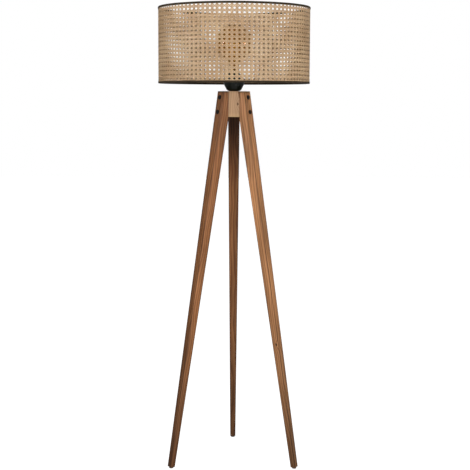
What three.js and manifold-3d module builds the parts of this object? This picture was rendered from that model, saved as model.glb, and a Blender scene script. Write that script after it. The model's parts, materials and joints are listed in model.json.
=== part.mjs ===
// Tripod floor lamp: three tapered wooden legs bolted to a six-sided head block, a threaded
// nipple that carries a black lampholder in a bowl, a globe bulb, and a drum shade of woven
// cane on a wire frame. Millimetres, +Z up, floor at z = 0, lamp axis on x = y = 0.
// The open front of the tripod faces -Y.

import * as THREE from 'three';
import { mergeVertices } from 'three/addons/utils/BufferGeometryUtils.js';
import Module from 'manifold-3d';

const wasm = await Module();
wasm.setup();

// ---------- driving dimensions ----------

const OVERALL_HEIGHT = 1520;
const GAP = 0.3; // air left between two pieces that touch

const SHADE_DIAMETER = 500;
const SHADE_HEIGHT = 248;
const TAPE_HEIGHT = 6.5;
const TAPE_THICKNESS = 0.6;
const CANE_THICKNESS = 1.2;
const WIRE_RADIUS = 1.5;
const WIRE_INSET = 0.6; // extra room between a wire ring and the fold of its tape
const SPIDER_ARM_RADIUS = 2;
const SPIDER_FLAT_LENGTH = 22; // level stretch of each arm next to the hub ring
const SPIDER_HUB_MARGIN = 1.5; // how far the hub ring stands out past the collar above it
const SPIDER_HUB_THICKNESS = 2;

const SHADE_ABOVE_BLOCK = 25; // from the block's top to the shade's lower edge
const BLOCK_HEIGHT = 84;
const LEG_FACE_WIDTH = 40; // faces of the block that carry a leg
const OPEN_FACE_WIDTH = 35; // faces of the block between two legs

const LEG_TOP_THICKNESS = 17.5;
const LEG_STRAIGHT_BELOW_BLOCK = 8; // the leg's upright inner face runs this far past the block
const FOOT_WIDTH = 18.5;
const FOOT_THICKNESS = 17.5;
const FOOT_CIRCLE_RADIUS = 236.5; // from the lamp axis to the middle of each foot
const FOOT_CHAMFER = 1.5;
const GLIDE_HEIGHT = 4;
const GLIDE_RADIUS = 7;
const GLIDE_PIN_RADIUS = 1.5;
const GLIDE_PIN_LENGTH = 14;

const BOLT_DEPTHS = { upper: 20, lower: 68 }; // below the block's top
const BOLT_SHANK_RADIUS = 4;
const BOLT_HEAD_RADIUS = 7;
const BOLT_HEAD_HEIGHT = 8;
const BOLT_SOCKET_RADIUS = 3.2;
const BOLT_SOCKET_DEPTH = 4;
const BOLT_HEAD_STAND = 4; // how far the head stands proud of the leg's outer face
const BOLT_TIP_RADIUS = 15; // how near the bolt's tip comes to the lamp axis
const INSERT_WALL = 1.7;
const INSERT_LENGTH = 17;

const NIPPLE_RADIUS = 5;
const NIPPLE_BORE_RADIUS = 3.9;
const NUT_POCKET_DEPTH = 14; // counterbore in the block's underside that hides the nut
const NUT_POCKET_CLEARANCE = 1;
const NIPPLE_ABOVE_UNDERSIDE = 3;
const NIPPLE_IN_HOLDER = 7; // how far the nipple stands up inside the lampholder's base
const WASHER_RADIUS = 12;
const WASHER_THICKNESS = 1.5;
const NUT_ACROSS_FLATS = 15;
const NUT_HEIGHT = 5;
const BUSH_WALL = 1.8;
const BUSH_FLANGE_RADIUS = 8.5;
const BUSH_LIP = 2.5;
const BUSH_LENGTH = 3.6;
const BUSH_BORE_RADIUS = 3.4;

const BOWL_BASE_RADIUS = 13.5; // flat part of the bowl's underside
const BOWL_CORNER_RADIUS = 14;
const BOWL_RIM_RADIUS = 35.5;
const BOWL_HEIGHT = 29;
const BOWL_WALL = 2.4;
const HOLDER_BASE_RADIUS = 19.8;
const HOLDER_BASE_HEIGHT = 24;
const HOLDER_WALL = 2.2;
const HOLDER_BASE_TAPER = 6; // how much narrower the base is at its underside
const SHOULDER_WIDTH = 3.2; // ledge under the hub ring, between the skirt and the thread
const SKIRT_HEIGHT = 10;
const THREAD_RADIUS = 19.8; // outside of the sleeve that the shade's hub ring slips over
const THREAD_HEIGHT = 28;
const COLLAR_WALL = 8.1;
const COLLAR_HEIGHT = 16;
const COLLAR_RIBS = 24;
const COLLAR_RIB_DEPTH = 0.9;
const INSULATOR_HEIGHT = 17;
const INSULATOR_IN_SLEEVE = 5;
const SHELL_WALL = 0.7;
const SHELL_HEIGHT = 27;
const CONTACT_SPRING_RISE = 6.5;
const CONTACT_STRIP_THICKNESS = 0.8;
const CONTACT_STRIP_WIDTH = 6;
const TERMINAL_OFFSET = 10;
const TERMINAL_SHANK_RADIUS = 1.5;
const TERMINAL_SHANK_LENGTH = 9;
const TERMINAL_HEAD_RADIUS = 3;
const TERMINAL_HEAD_HEIGHT = 2.4;

const GLOBE_RADIUS = 62.5;
const GLASS_WALL = 1;
const BULB_LENGTH = 180;
const BULB_CAP_RADIUS = 13.2;
const BULB_CAP_HEIGHT = 24;
const BULB_CAP_WALL = 0.8;
const BULB_TIP_RADIUS = 4.5;
const BULB_TIP_HEIGHT = 1.3;
const BULB_INSULATOR_HEIGHT = 2.4;
const NECK_IN_CAP = 10;
const STEM_RADIUS = 2.4;
const STEM_FLARE_RADIUS = 8;
const FILAMENT_COUNT = 4;
const FILAMENT_RADIUS = 1.3;
const FILAMENT_LENGTH = 38;
const FILAMENT_CIRCLE_RADIUS = 13;
const STAR_THICKNESS = 1;

const LARGE_SEGMENTS = 60;
const MEDIUM_SEGMENTS = 28;
const SMALL_SEGMENTS = 12;

const LEG_AZIMUTHS = { back: 90, left: 210, right: 330 };

// ---------- derived places ----------

const shadeRadius = SHADE_DIAMETER / 2;
const shadeTop = OVERALL_HEIGHT;
const shadeBottom = shadeTop - SHADE_HEIGHT;
const blockTop = shadeBottom - SHADE_ABOVE_BLOCK;
const blockBottom = blockTop - BLOCK_HEIGHT;
const legFaceApothem = (LEG_FACE_WIDTH + 2 * OPEN_FACE_WIDTH) / (2 * Math.sqrt(3));
const legInnerTop = legFaceApothem + GAP;
const legOuterTop = legInnerTop + LEG_TOP_THICKNESS;
const legEnd = GLIDE_HEIGHT + GAP;
const footInner = FOOT_CIRCLE_RADIUS - FOOT_THICKNESS / 2;
const footOuter = FOOT_CIRCLE_RADIUS + FOOT_THICKNESS / 2;
const outerSlope = (footOuter - legOuterTop) / (blockTop - legEnd);

const boreRadius = NIPPLE_RADIUS + GAP;
const pocketTop = blockBottom + NUT_POCKET_DEPTH;
const washerBottom = pocketTop - GAP - WASHER_THICKNESS;
const nutBottom = washerBottom - GAP - NUT_HEIGHT;
const nippleBottom = blockBottom + NIPPLE_ABOVE_UNDERSIDE;

const bowlBottom = blockTop + GAP;
const holderBottom = bowlBottom + BOWL_WALL + GAP;
const sleeveBottom = holderBottom + HOLDER_BASE_HEIGHT + GAP;
const shoulder = sleeveBottom + SKIRT_HEIGHT;
const sleeveTop = shoulder + THREAD_HEIGHT;
const skirtRadius = THREAD_RADIUS + SHOULDER_WIDTH;
const nippleTop = holderBottom + HOLDER_WALL + NIPPLE_IN_HOLDER;
const hubBottom = shoulder + GAP;
const hubTop = hubBottom + SPIDER_HUB_THICKNESS;
const hubInner = THREAD_RADIUS + GAP * 2;
const collarRadius = hubInner + COLLAR_WALL;
const hubOuter = collarRadius + SPIDER_HUB_MARGIN;
const collarBottom = hubTop + GAP;

const insulatorTop = sleeveBottom + INSULATOR_IN_SLEEVE;
const insulatorBottom = insulatorTop - INSULATOR_HEIGHT;
const insulatorRadius = HOLDER_BASE_RADIUS - HOLDER_WALL - GAP * 2;
const bulbTip = insulatorTop + CONTACT_SPRING_RISE + GAP * 2;
const shellBottom = insulatorTop + GAP;
const shellOuter = BULB_CAP_RADIUS + GAP * 2 + SHELL_WALL;

const tapeOuter = shadeRadius;
const caneOuter = tapeOuter - TAPE_THICKNESS - GAP;
const caneInner = caneOuter - CANE_THICKNESS;
const wireCircleRadius = caneInner - GAP - WIRE_RADIUS;
const tapeInner = wireCircleRadius - WIRE_RADIUS - GAP - TAPE_THICKNESS;
const caneEdge = TAPE_THICKNESS + GAP; // from the shade's rim to the cane's edge
const wireFromRim = TAPE_THICKNESS + GAP + WIRE_RADIUS + WIRE_INSET;

// ---------- finishes ----------

function finish(colour, roughness, metalness) {
  return new THREE.MeshStandardMaterial({ color: colour, roughness, metalness });
}

const walnutPine = finish(0x84603f, 0.6, 0);
const palePine = finish(0xb08f6a, 0.65, 0);
const wovenCane = finish(0xbba17c, 0.7, 0);
const blackTape = finish(0x1d1712, 0.8, 0);
const blackPlastic = finish(0x171815, 0.4, 0);
const blackSteel = finish(0x18171a, 0.45, 0.9);
const zincSteel = finish(0xb4b6ba, 0.35, 1);
const frameWire = finish(0x2a2725, 0.5, 0.8);
const brass = finish(0xc9a255, 0.3, 1);
const porcelain = finish(0xe8e4da, 0.35, 0);
const amberGlass = new THREE.MeshStandardMaterial({
  color: 0xd98f34,
  roughness: 0.05,
  metalness: 0,
  transparent: true,
  opacity: 0.4,
});
const clearGlass = amberGlass.clone();
clearGlass.color.set(0xe6ece8);
const filamentYellow = finish(0xe3b347, 0.6, 0);
const glideFelt = finish(0x3b332c, 0.9, 0);

// ---------- solids ----------

// Turns a closed (radius, height) outline, listed anticlockwise, round the Z axis.
function turned(outline, segments = MEDIUM_SEGMENTS) {
  const points = outline.map(([radius, height]) => new THREE.Vector2(radius, height));
  return new THREE.LatheGeometry(points, segments).rotateX(Math.PI / 2);
}

function tube(inner, outer, low, high, segments) {
  return turned([[inner, low], [outer, low], [outer, high], [inner, high], [inner, low]], segments);
}

function disc(radius, low, high, segments) {
  return turned([[0, low], [radius, low], [radius, high], [0, high]], segments);
}

// Points every few degrees on an arc in the (radius, height) plane; angles in degrees.
function arcPoints(centreRadius, centreHeight, radius, from, to, steps) {
  const points = [];
  for (let i = 0; i <= steps; i += 1) {
    const angle = THREE.MathUtils.degToRad(from + ((to - from) * i) / steps);
    points.push([centreRadius + radius * Math.cos(angle), centreHeight + radius * Math.sin(angle)]);
  }
  return points;
}

// Moves an outline to its left-hand side by a wall thickness.
function innerWall(points, wall) {
  return points.map((point, i) => {
    const before = points[Math.max(i - 1, 0)];
    const after = points[Math.min(i + 1, points.length - 1)];
    const run = after[0] - before[0];
    const rise = after[1] - before[1];
    const length = Math.hypot(run, rise);
    return [Math.max(point[0] - (wall * rise) / length, 0), point[1] + (wall * run) / length];
  });
}

function extruded(shape, low, high, curveSegments = SMALL_SEGMENTS) {
  const options = { depth: high - low, bevelEnabled: false, curveSegments };
  return new THREE.ExtrudeGeometry(shape, options).translate(0, 0, low);
}

function roundHole(radius) {
  const hole = new THREE.Path();
  hole.absarc(0, 0, radius, 0, Math.PI * 2, true);
  return hole;
}

function toSolid(geometry) {
  const bare = geometry.clone();
  bare.deleteAttribute('normal');
  bare.deleteAttribute('uv');
  const merged = mergeVertices(bare, 1e-4);
  const mesh = new wasm.Mesh({
    numProp: 3,
    vertProperties: new Float32Array(merged.attributes.position.array),
    triVerts: new Uint32Array(merged.index.array),
  });
  return new wasm.Manifold(mesh);
}

function toGeometry(solid) {
  const mesh = solid.getMesh();
  const geometry = new THREE.BufferGeometry();
  geometry.setAttribute('position', new THREE.BufferAttribute(mesh.vertProperties, 3));
  geometry.setIndex(new THREE.BufferAttribute(mesh.triVerts, 1));
  geometry.computeVertexNormals();
  return geometry;
}

function cut(geometry, cutters) {
  const solid = cutters.reduce((rest, cutter) => rest.subtract(toSolid(cutter)), toSolid(geometry));
  return toGeometry(solid);
}

// A straight round bar between two points.
function bar(from, to, radius, segments = SMALL_SEGMENTS) {
  const start = new THREE.Vector3(...from);
  const end = new THREE.Vector3(...to);
  const along = end.clone().sub(start);
  const geometry = new THREE.CylinderGeometry(radius, radius, along.length(), segments);
  const turn = new THREE.Quaternion().setFromUnitVectors(
    new THREE.Vector3(0, 1, 0),
    along.clone().normalize(),
  );
  return geometry.applyQuaternion(turn).translate(...start.add(end).multiplyScalar(0.5).toArray());
}

// ---------- assembly helpers ----------

const lamp = new THREE.Group();

function place(name, geometry, material, parent = lamp) {
  const mesh = new THREE.Mesh(geometry, material);
  mesh.name = name;
  parent.add(mesh);
  return mesh;
}

function turnedGroup(azimuth) {
  const group = new THREE.Group();
  group.rotation.z = THREE.MathUtils.degToRad(azimuth);
  lamp.add(group);
  return group;
}

// ---------- legs, in a frame whose +X points away from the lamp axis ----------

function legOuterAt(height) {
  return legOuterTop + outerSlope * (blockTop - height);
}

function legWidthAt(height) {
  const share = (height - legEnd) / (blockTop - legEnd);
  return FOOT_WIDTH + (LEG_FACE_WIDTH - FOOT_WIDTH) * share;
}

function boltSeat(height) {
  return legOuterAt(height) + BOLT_HEAD_STAND - BOLT_HEAD_HEIGHT;
}

function legGeometry() {
  const side = new THREE.Shape([
    new THREE.Vector2(legInnerTop, blockTop),
    new THREE.Vector2(legInnerTop, blockBottom - LEG_STRAIGHT_BELOW_BLOCK),
    new THREE.Vector2(footInner, legEnd + FOOT_CHAMFER),
    new THREE.Vector2(footInner + FOOT_CHAMFER, legEnd),
    new THREE.Vector2(footOuter - FOOT_CHAMFER, legEnd),
    new THREE.Vector2(footOuter, legEnd + FOOT_CHAMFER),
    new THREE.Vector2(legOuterTop, blockTop),
  ]);
  const body = extruded(side, -0.5, 0.5).rotateX(Math.PI / 2);
  const position = body.attributes.position;
  for (let i = 0; i < position.count; i += 1) {
    position.setY(i, position.getY(i) * legWidthAt(position.getZ(i)));
  }
  const cutters = [];
  for (const depth of Object.values(BOLT_DEPTHS)) {
    const height = blockTop - depth;
    const seat = boltSeat(height) - GAP;
    const far = legOuterAt(blockBottom) + BOLT_HEAD_HEIGHT;
    cutters.push(bar([0, 0, height], [far, 0, height], BOLT_SHANK_RADIUS + GAP));
    cutters.push(bar([seat, 0, height], [far, 0, height], BOLT_HEAD_RADIUS + GAP));
  }
  const pinTop = legEnd + GLIDE_PIN_LENGTH;
  const foot = FOOT_CIRCLE_RADIUS;
  cutters.push(bar([foot, 0, 0], [foot, 0, pinTop], GLIDE_PIN_RADIUS + GAP));
  return cut(body, cutters);
}

function boltGeometry(shankLength) {
  const tip = -shankLength;
  const top = BOLT_HEAD_HEIGHT;
  const chamfer = 0.7;
  const outline = [
    [0, tip],
    [BOLT_SHANK_RADIUS - chamfer, tip],
    [BOLT_SHANK_RADIUS, tip + chamfer],
    [BOLT_SHANK_RADIUS, 0],
    [BOLT_HEAD_RADIUS, 0],
    [BOLT_HEAD_RADIUS, top - chamfer],
    [BOLT_HEAD_RADIUS - chamfer, top],
    [BOLT_SOCKET_RADIUS, top],
    [BOLT_SOCKET_RADIUS, top - BOLT_SOCKET_DEPTH],
    [0, top - BOLT_SOCKET_DEPTH],
  ];
  return turned(outline, SMALL_SEGMENTS).rotateY(Math.PI / 2);
}

function insertGeometry() {
  const bore = BOLT_SHANK_RADIUS + GAP;
  return tube(bore, bore + INSERT_WALL, 0, INSERT_LENGTH, SMALL_SEGMENTS).rotateY(Math.PI / 2);
}

function glideGeometry() {
  return turned([
    [0, 0],
    [GLIDE_RADIUS, 0],
    [GLIDE_RADIUS, GLIDE_HEIGHT],
    [GLIDE_PIN_RADIUS, GLIDE_HEIGHT],
    [GLIDE_PIN_RADIUS, legEnd + GLIDE_PIN_LENGTH - GAP],
    [0, legEnd + GLIDE_PIN_LENGTH - GAP],
  ], SMALL_SEGMENTS);
}

function addLeg(side, azimuth) {
  const group = turnedGroup(azimuth);
  place(`leg_${side}`, legGeometry(), walnutPine, group);
  for (const [level, depth] of Object.entries(BOLT_DEPTHS)) {
    const height = blockTop - depth;
    const seat = boltSeat(height);
    const bolt = boltGeometry(seat - BOLT_TIP_RADIUS);
    place(`leg_bolt_${side}_${level}`, bolt, blackSteel, group).position.set(seat, 0, height);
    const insertStart = legFaceApothem - GAP - INSERT_LENGTH;
    const insert = place(`block_insert_${side}_${level}`, insertGeometry(), brass, group);
    insert.position.set(insertStart, 0, height);
  }
  const glide = place(`foot_glide_${side}`, glideGeometry(), glideFelt, group);
  glide.position.set(FOOT_CIRCLE_RADIUS, 0, 0);
}

// ---------- head block and the nipple through it ----------

function blockGeometry() {
  const corners = [];
  const cutters = [
    bar([0, 0, blockBottom - 1], [0, 0, blockTop + 1], boreRadius),
    bar([0, 0, blockBottom - 1], [0, 0, pocketTop], WASHER_RADIUS + NUT_POCKET_CLEARANCE),
  ];
  const pocketRadius = BOLT_SHANK_RADIUS + INSERT_WALL + GAP * 2;
  const pocketStart = legFaceApothem - INSERT_LENGTH - GAP * 2;
  for (const azimuth of Object.values(LEG_AZIMUTHS)) {
    const angle = THREE.MathUtils.degToRad(azimuth);
    const outward = new THREE.Vector2(Math.cos(angle), Math.sin(angle));
    const across = new THREE.Vector2(-outward.y, outward.x);
    for (const side of [-1, 1]) {
      const corner = outward.clone().multiplyScalar(legFaceApothem);
      corners.push(corner.addScaledVector(across, (side * LEG_FACE_WIDTH) / 2));
    }
    for (const depth of Object.values(BOLT_DEPTHS)) {
      const height = blockTop - depth;
      const near = [outward.x * pocketStart, outward.y * pocketStart, height];
      const far = [outward.x * legOuterTop, outward.y * legOuterTop, height];
      cutters.push(bar(near, far, pocketRadius));
    }
  }
  return cut(extruded(new THREE.Shape(corners), blockBottom, blockTop), cutters);
}

function nutGeometry() {
  const hexagon = new THREE.Shape();
  const cornerRadius = NUT_ACROSS_FLATS / Math.sqrt(3);
  for (let i = 0; i < 6; i += 1) {
    const angle = (i * Math.PI) / 3;
    const step = i === 0 ? 'moveTo' : 'lineTo';
    hexagon[step](cornerRadius * Math.cos(angle), cornerRadius * Math.sin(angle));
  }
  hexagon.holes.push(roundHole(boreRadius));
  return extruded(hexagon, nutBottom, nutBottom + NUT_HEIGHT, SMALL_SEGMENTS / 2);
}

// A plastic bush pushed over the nipple's lower end, where the supply cord would enter.
function cordBushGeometry() {
  const socketTop = nippleBottom - GAP + BUSH_LENGTH;
  const lipBottom = nippleBottom - GAP - BUSH_LIP;
  return turned([
    [BUSH_BORE_RADIUS, lipBottom],
    [BUSH_FLANGE_RADIUS - 1, lipBottom],
    [BUSH_FLANGE_RADIUS, lipBottom + 1],
    [BUSH_FLANGE_RADIUS, nippleBottom - GAP],
    [boreRadius + BUSH_WALL, nippleBottom - GAP],
    [boreRadius + BUSH_WALL, socketTop],
    [boreRadius, socketTop],
    [boreRadius, nippleBottom - GAP],
    [BUSH_BORE_RADIUS, nippleBottom - GAP],
    [BUSH_BORE_RADIUS, lipBottom],
  ], SMALL_SEGMENTS * 1.5);
}

function addHead() {
  const nippleSegments = SMALL_SEGMENTS * 1.5;
  const washerTop = washerBottom + WASHER_THICKNESS;
  place('head_block', blockGeometry(), palePine);
  const nipple = tube(NIPPLE_BORE_RADIUS, NIPPLE_RADIUS, nippleBottom, nippleTop, nippleSegments);
  place('threaded_nipple', nipple, zincSteel);
  const washer = tube(boreRadius, WASHER_RADIUS, washerBottom, washerTop, nippleSegments);
  place('block_washer', washer, zincSteel);
  place('nipple_nut', nutGeometry(), zincSteel);
  place('cord_bush', cordBushGeometry(), blackPlastic);
}

// ---------- lampholder ----------

function bowlGeometry() {
  const corner = BOWL_CORNER_RADIUS;
  const lower = arcPoints(BOWL_BASE_RADIUS, bowlBottom + corner, corner, -90, -28, 5);
  const outside = [
    ...lower,
    [BOWL_RIM_RADIUS - 3.6, bowlBottom + BOWL_HEIGHT - 9],
    [BOWL_RIM_RADIUS - 0.8, bowlBottom + BOWL_HEIGHT - 2.5],
    [BOWL_RIM_RADIUS, bowlBottom + BOWL_HEIGHT - 1],
    [BOWL_RIM_RADIUS - 0.4, bowlBottom + BOWL_HEIGHT],
  ];
  const inside = innerWall(outside, BOWL_WALL).reverse();
  const rimInner = [BOWL_RIM_RADIUS - BOWL_WALL, bowlBottom + BOWL_HEIGHT];
  return turned([
    [boreRadius, bowlBottom],
    ...outside,
    rimInner,
    ...inside.slice(2),
    [boreRadius, bowlBottom + BOWL_WALL],
    [boreRadius, bowlBottom],
  ]);
}

function holderBaseGeometry() {
  const top = holderBottom + HOLDER_BASE_HEIGHT;
  const floor = holderBottom + HOLDER_WALL;
  const shoulderHeight = 9;
  return turned([
    [boreRadius, holderBottom],
    [HOLDER_BASE_RADIUS - HOLDER_BASE_TAPER, holderBottom],
    [HOLDER_BASE_RADIUS, holderBottom + shoulderHeight],
    [HOLDER_BASE_RADIUS, top],
    [HOLDER_BASE_RADIUS - HOLDER_WALL, top],
    [HOLDER_BASE_RADIUS - HOLDER_WALL, holderBottom + shoulderHeight],
    [HOLDER_BASE_RADIUS - HOLDER_BASE_TAPER - HOLDER_WALL, floor],
    [boreRadius, floor],
    [boreRadius, holderBottom],
  ]);
}

function sleeveGeometry() {
  const bore = HOLDER_BASE_RADIUS - HOLDER_WALL;
  return turned([
    [bore, sleeveBottom],
    [skirtRadius - 1, sleeveBottom],
    [skirtRadius, sleeveBottom + 1],
    [skirtRadius, shoulder],
    [THREAD_RADIUS, shoulder],
    [THREAD_RADIUS, sleeveTop - 1],
    [THREAD_RADIUS - 1, sleeveTop],
    [shellOuter + GAP, sleeveTop],
    [shellOuter + GAP, sleeveTop - 2],
    [bore, sleeveTop - 2],
    [bore, sleeveBottom],
  ]);
}

function insulatorGeometry() {
  const cutters = [-1, 1].map((side) => {
    const x = side * TERMINAL_OFFSET;
    const depth = insulatorBottom + TERMINAL_SHANK_LENGTH;
    return bar([x, 0, insulatorBottom - 1], [x, 0, depth], TERMINAL_SHANK_RADIUS + GAP);
  });
  return cut(disc(insulatorRadius, insulatorBottom, insulatorTop, MEDIUM_SEGMENTS), cutters);
}

function terminalScrewGeometry() {
  return turned([
    [0, -TERMINAL_HEAD_HEIGHT],
    [TERMINAL_HEAD_RADIUS, -TERMINAL_HEAD_HEIGHT],
    [TERMINAL_HEAD_RADIUS, 0],
    [TERMINAL_SHANK_RADIUS, 0],
    [TERMINAL_SHANK_RADIUS, TERMINAL_SHANK_LENGTH - GAP * 2],
    [0, TERMINAL_SHANK_LENGTH - GAP * 2],
  ], SMALL_SEGMENTS);
}

// A folded leaf spring: a flat foot on the insulator, a slope, and a flat under the bulb's tip.
function centreContactGeometry() {
  const low = insulatorTop + GAP;
  const high = insulatorTop + CONTACT_SPRING_RISE;
  const strip = CONTACT_STRIP_THICKNESS;
  const side = new THREE.Shape([
    new THREE.Vector2(-8, low),
    new THREE.Vector2(-3.2, low),
    new THREE.Vector2(-0.4, high - strip),
    new THREE.Vector2(4, high - strip),
    new THREE.Vector2(4, high),
    new THREE.Vector2(-1, high),
    new THREE.Vector2(-3.8, low + strip),
    new THREE.Vector2(-8, low + strip),
  ]);
  const half = CONTACT_STRIP_WIDTH / 2;
  return extruded(side, -half, half).rotateX(Math.PI / 2);
}

function collarGeometry() {
  const outline = new THREE.Shape();
  const steps = COLLAR_RIBS * 4;
  for (let i = 0; i < steps; i += 1) {
    const angle = (i / steps) * Math.PI * 2;
    const radius = collarRadius - (i % 4 < 2 ? 0 : COLLAR_RIB_DEPTH);
    const step = i === 0 ? 'moveTo' : 'lineTo';
    outline[step](radius * Math.cos(angle), radius * Math.sin(angle));
  }
  outline.holes.push(roundHole(hubInner));
  return extruded(outline, collarBottom, collarBottom + COLLAR_HEIGHT, MEDIUM_SEGMENTS / 2);
}

function addLampholder() {
  place('holder_bowl', bowlGeometry(), blackPlastic);
  place('holder_base', holderBaseGeometry(), blackPlastic);
  place('holder_sleeve', sleeveGeometry(), blackPlastic);
  place('holder_insulator', insulatorGeometry(), porcelain);
  const shellTop = shellBottom + SHELL_HEIGHT;
  const shell = tube(shellOuter - SHELL_WALL, shellOuter, shellBottom, shellTop);
  place('screw_shell', shell, brass);
  place('centre_contact', centreContactGeometry(), brass);
  for (const [side, sign] of [['left', -1], ['right', 1]]) {
    const screw = place(`terminal_screw_${side}`, terminalScrewGeometry(), zincSteel);
    screw.position.set(sign * TERMINAL_OFFSET, 0, insulatorBottom - GAP);
  }
  place('shade_collar', collarGeometry(), blackPlastic);
}

// ---------- shade ----------

function wireRing(height) {
  const section = arcPoints(wireCircleRadius, height, WIRE_RADIUS, 0, 360, 6);
  return turned(section, LARGE_SEGMENTS);
}

// The run of one arm: level at the hub, sloping down, and level again where it meets the ring.
function armPath(overrun) {
  const start = hubOuter + GAP;
  const end = wireCircleRadius - WIRE_RADIUS - GAP;
  const low = shadeBottom + wireFromRim;
  const high = hubBottom + SPIDER_HUB_THICKNESS / 2;
  return new THREE.CatmullRomCurve3([
    new THREE.Vector3(start, 0, high),
    new THREE.Vector3(start + SPIDER_FLAT_LENGTH, 0, high),
    new THREE.Vector3(end - SPIDER_FLAT_LENGTH, 0, low),
    new THREE.Vector3(end + overrun, 0, low),
  ], false, 'centripetal');
}

function armGeometry(radius, overrun) {
  const section = new THREE.Shape();
  section.absarc(0, 0, radius, 0, Math.PI * 2, false);
  const options = { steps: 12, curveSegments: 8, extrudePath: armPath(overrun), bevelEnabled: false };
  return new THREE.ExtrudeGeometry(section, options);
}

// Tape folded over a rim: a channel open towards the middle of the shade's height.
function tapeGeometry(rim, inwards) {
  const skin = rim + inwards * TAPE_THICKNESS;
  const edge = rim + inwards * TAPE_HEIGHT;
  const outline = [
    [tapeInner, edge],
    [tapeInner, rim],
    [tapeOuter, rim],
    [tapeOuter, edge],
    [tapeOuter - TAPE_THICKNESS, edge],
    [tapeOuter - TAPE_THICKNESS, skin],
    [tapeInner + TAPE_THICKNESS, skin],
    [tapeInner + TAPE_THICKNESS, edge],
    [tapeInner, edge],
  ];
  return turned(inwards > 0 ? outline : outline.reverse(), LARGE_SEGMENTS);
}

function addShade() {
  const hub = tube(hubInner, hubOuter, hubBottom, hubTop);
  place('spider_hub_ring', hub, frameWire);
  const notches = [];
  for (const [side, azimuth] of Object.entries(LEG_AZIMUTHS)) {
    const angle = THREE.MathUtils.degToRad(azimuth);
    const arm = place(`spider_arm_${side}`, armGeometry(SPIDER_ARM_RADIUS, 0), frameWire);
    arm.rotation.z = angle;
    notches.push(armGeometry(SPIDER_ARM_RADIUS + GAP, GAP).rotateZ(angle));
  }
  place('bottom_wire_ring', wireRing(shadeBottom + wireFromRim), frameWire);
  place('top_wire_ring', wireRing(shadeTop - wireFromRim), frameWire);
  const cane = tube(caneInner, caneOuter, shadeBottom + caneEdge, shadeTop - caneEdge, LARGE_SEGMENTS);
  place('cane_drum', cane, wovenCane);
  place('bottom_tape', cut(tapeGeometry(shadeBottom, 1), notches), blackTape);
  place('top_tape', tapeGeometry(shadeTop, -1), blackTape);
}

// ---------- bulb ----------

const capBottom = bulbTip + BULB_TIP_HEIGHT + BULB_INSULATOR_HEIGHT;
const capTop = capBottom + BULB_CAP_HEIGHT;
const globeCentre = bulbTip + BULB_LENGTH - GLOBE_RADIUS;
const neckRadius = BULB_CAP_RADIUS - BULB_CAP_WALL - GAP;
const neckBottom = capTop - NECK_IN_CAP;

function globeGeometry() {
  const join = -60; // where the neck's curve meets the sphere, degrees below its equator
  const sphere = arcPoints(0, globeCentre, GLOBE_RADIUS, join, 90, 12);
  const [joinRadius, joinHeight] = sphere[0];
  const neckTop = capTop + 6;
  const curve = new THREE.CubicBezierCurve(
    new THREE.Vector2(neckRadius, neckTop),
    new THREE.Vector2(neckRadius, neckTop + 12),
    new THREE.Vector2(joinRadius - 12, joinHeight - 12 * Math.tan(Math.PI / 6)),
    new THREE.Vector2(joinRadius, joinHeight),
  );
  const neck = curve.getPoints(5).slice(0, -1).map((point) => [point.x, point.y]);
  const outside = [[neckRadius, neckBottom], ...neck, ...sphere.slice(0, -1)];
  const inside = innerWall(outside, GLASS_WALL).reverse();
  return turned([
    ...outside,
    [0, globeCentre + GLOBE_RADIUS],
    [0, globeCentre + GLOBE_RADIUS - GLASS_WALL],
    ...inside,
    outside[0],
  ]);
}

function bulbCapGeometry() {
  const inner = BULB_CAP_RADIUS - BULB_CAP_WALL;
  const throat = BULB_TIP_RADIUS + 1.5;
  return turned([
    [throat, capBottom],
    [BULB_CAP_RADIUS - 2, capBottom],
    [BULB_CAP_RADIUS, capBottom + 3],
    [BULB_CAP_RADIUS, capTop],
    [inner, capTop],
    [inner, capBottom + 3.4],
    [BULB_CAP_RADIUS - 2.6, capBottom + BULB_CAP_WALL],
    [throat, capBottom + BULB_CAP_WALL],
    [throat, capBottom],
  ]);
}

function bulbInsulatorGeometry() {
  const low = bulbTip + BULB_TIP_HEIGHT + GAP;
  return turned([
    [0, low],
    [BULB_TIP_RADIUS, low],
    [BULB_CAP_RADIUS - 3, capBottom - GAP],
    [0, capBottom - GAP],
  ], SMALL_SEGMENTS * 1.5);
}

// A star of flat arms that holds one end of every filament.
function starGeometry(height, centreHole) {
  const star = new THREE.Shape();
  const arm = FILAMENT_CIRCLE_RADIUS + FILAMENT_RADIUS;
  const half = FILAMENT_RADIUS * 0.8;
  const root = STEM_RADIUS + 1.6;
  for (let i = 0; i < FILAMENT_COUNT; i += 1) {
    const angle = (i / FILAMENT_COUNT) * Math.PI * 2;
    const valley = angle + Math.PI / FILAMENT_COUNT;
    const along = new THREE.Vector2(Math.cos(angle), Math.sin(angle));
    const across = new THREE.Vector2(-along.y, along.x).multiplyScalar(half);
    const tip = along.clone().multiplyScalar(arm);
    const step = i === 0 ? 'moveTo' : 'lineTo';
    star[step](tip.x - across.x, tip.y - across.y);
    star.lineTo(tip.x + across.x, tip.y + across.y);
    star.lineTo(root * Math.cos(valley), root * Math.sin(valley));
  }
  if (centreHole > 0) {
    star.holes.push(roundHole(centreHole));
  }
  return extruded(star, height, height + STAR_THICKNESS, SMALL_SEGMENTS / 2);
}

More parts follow.
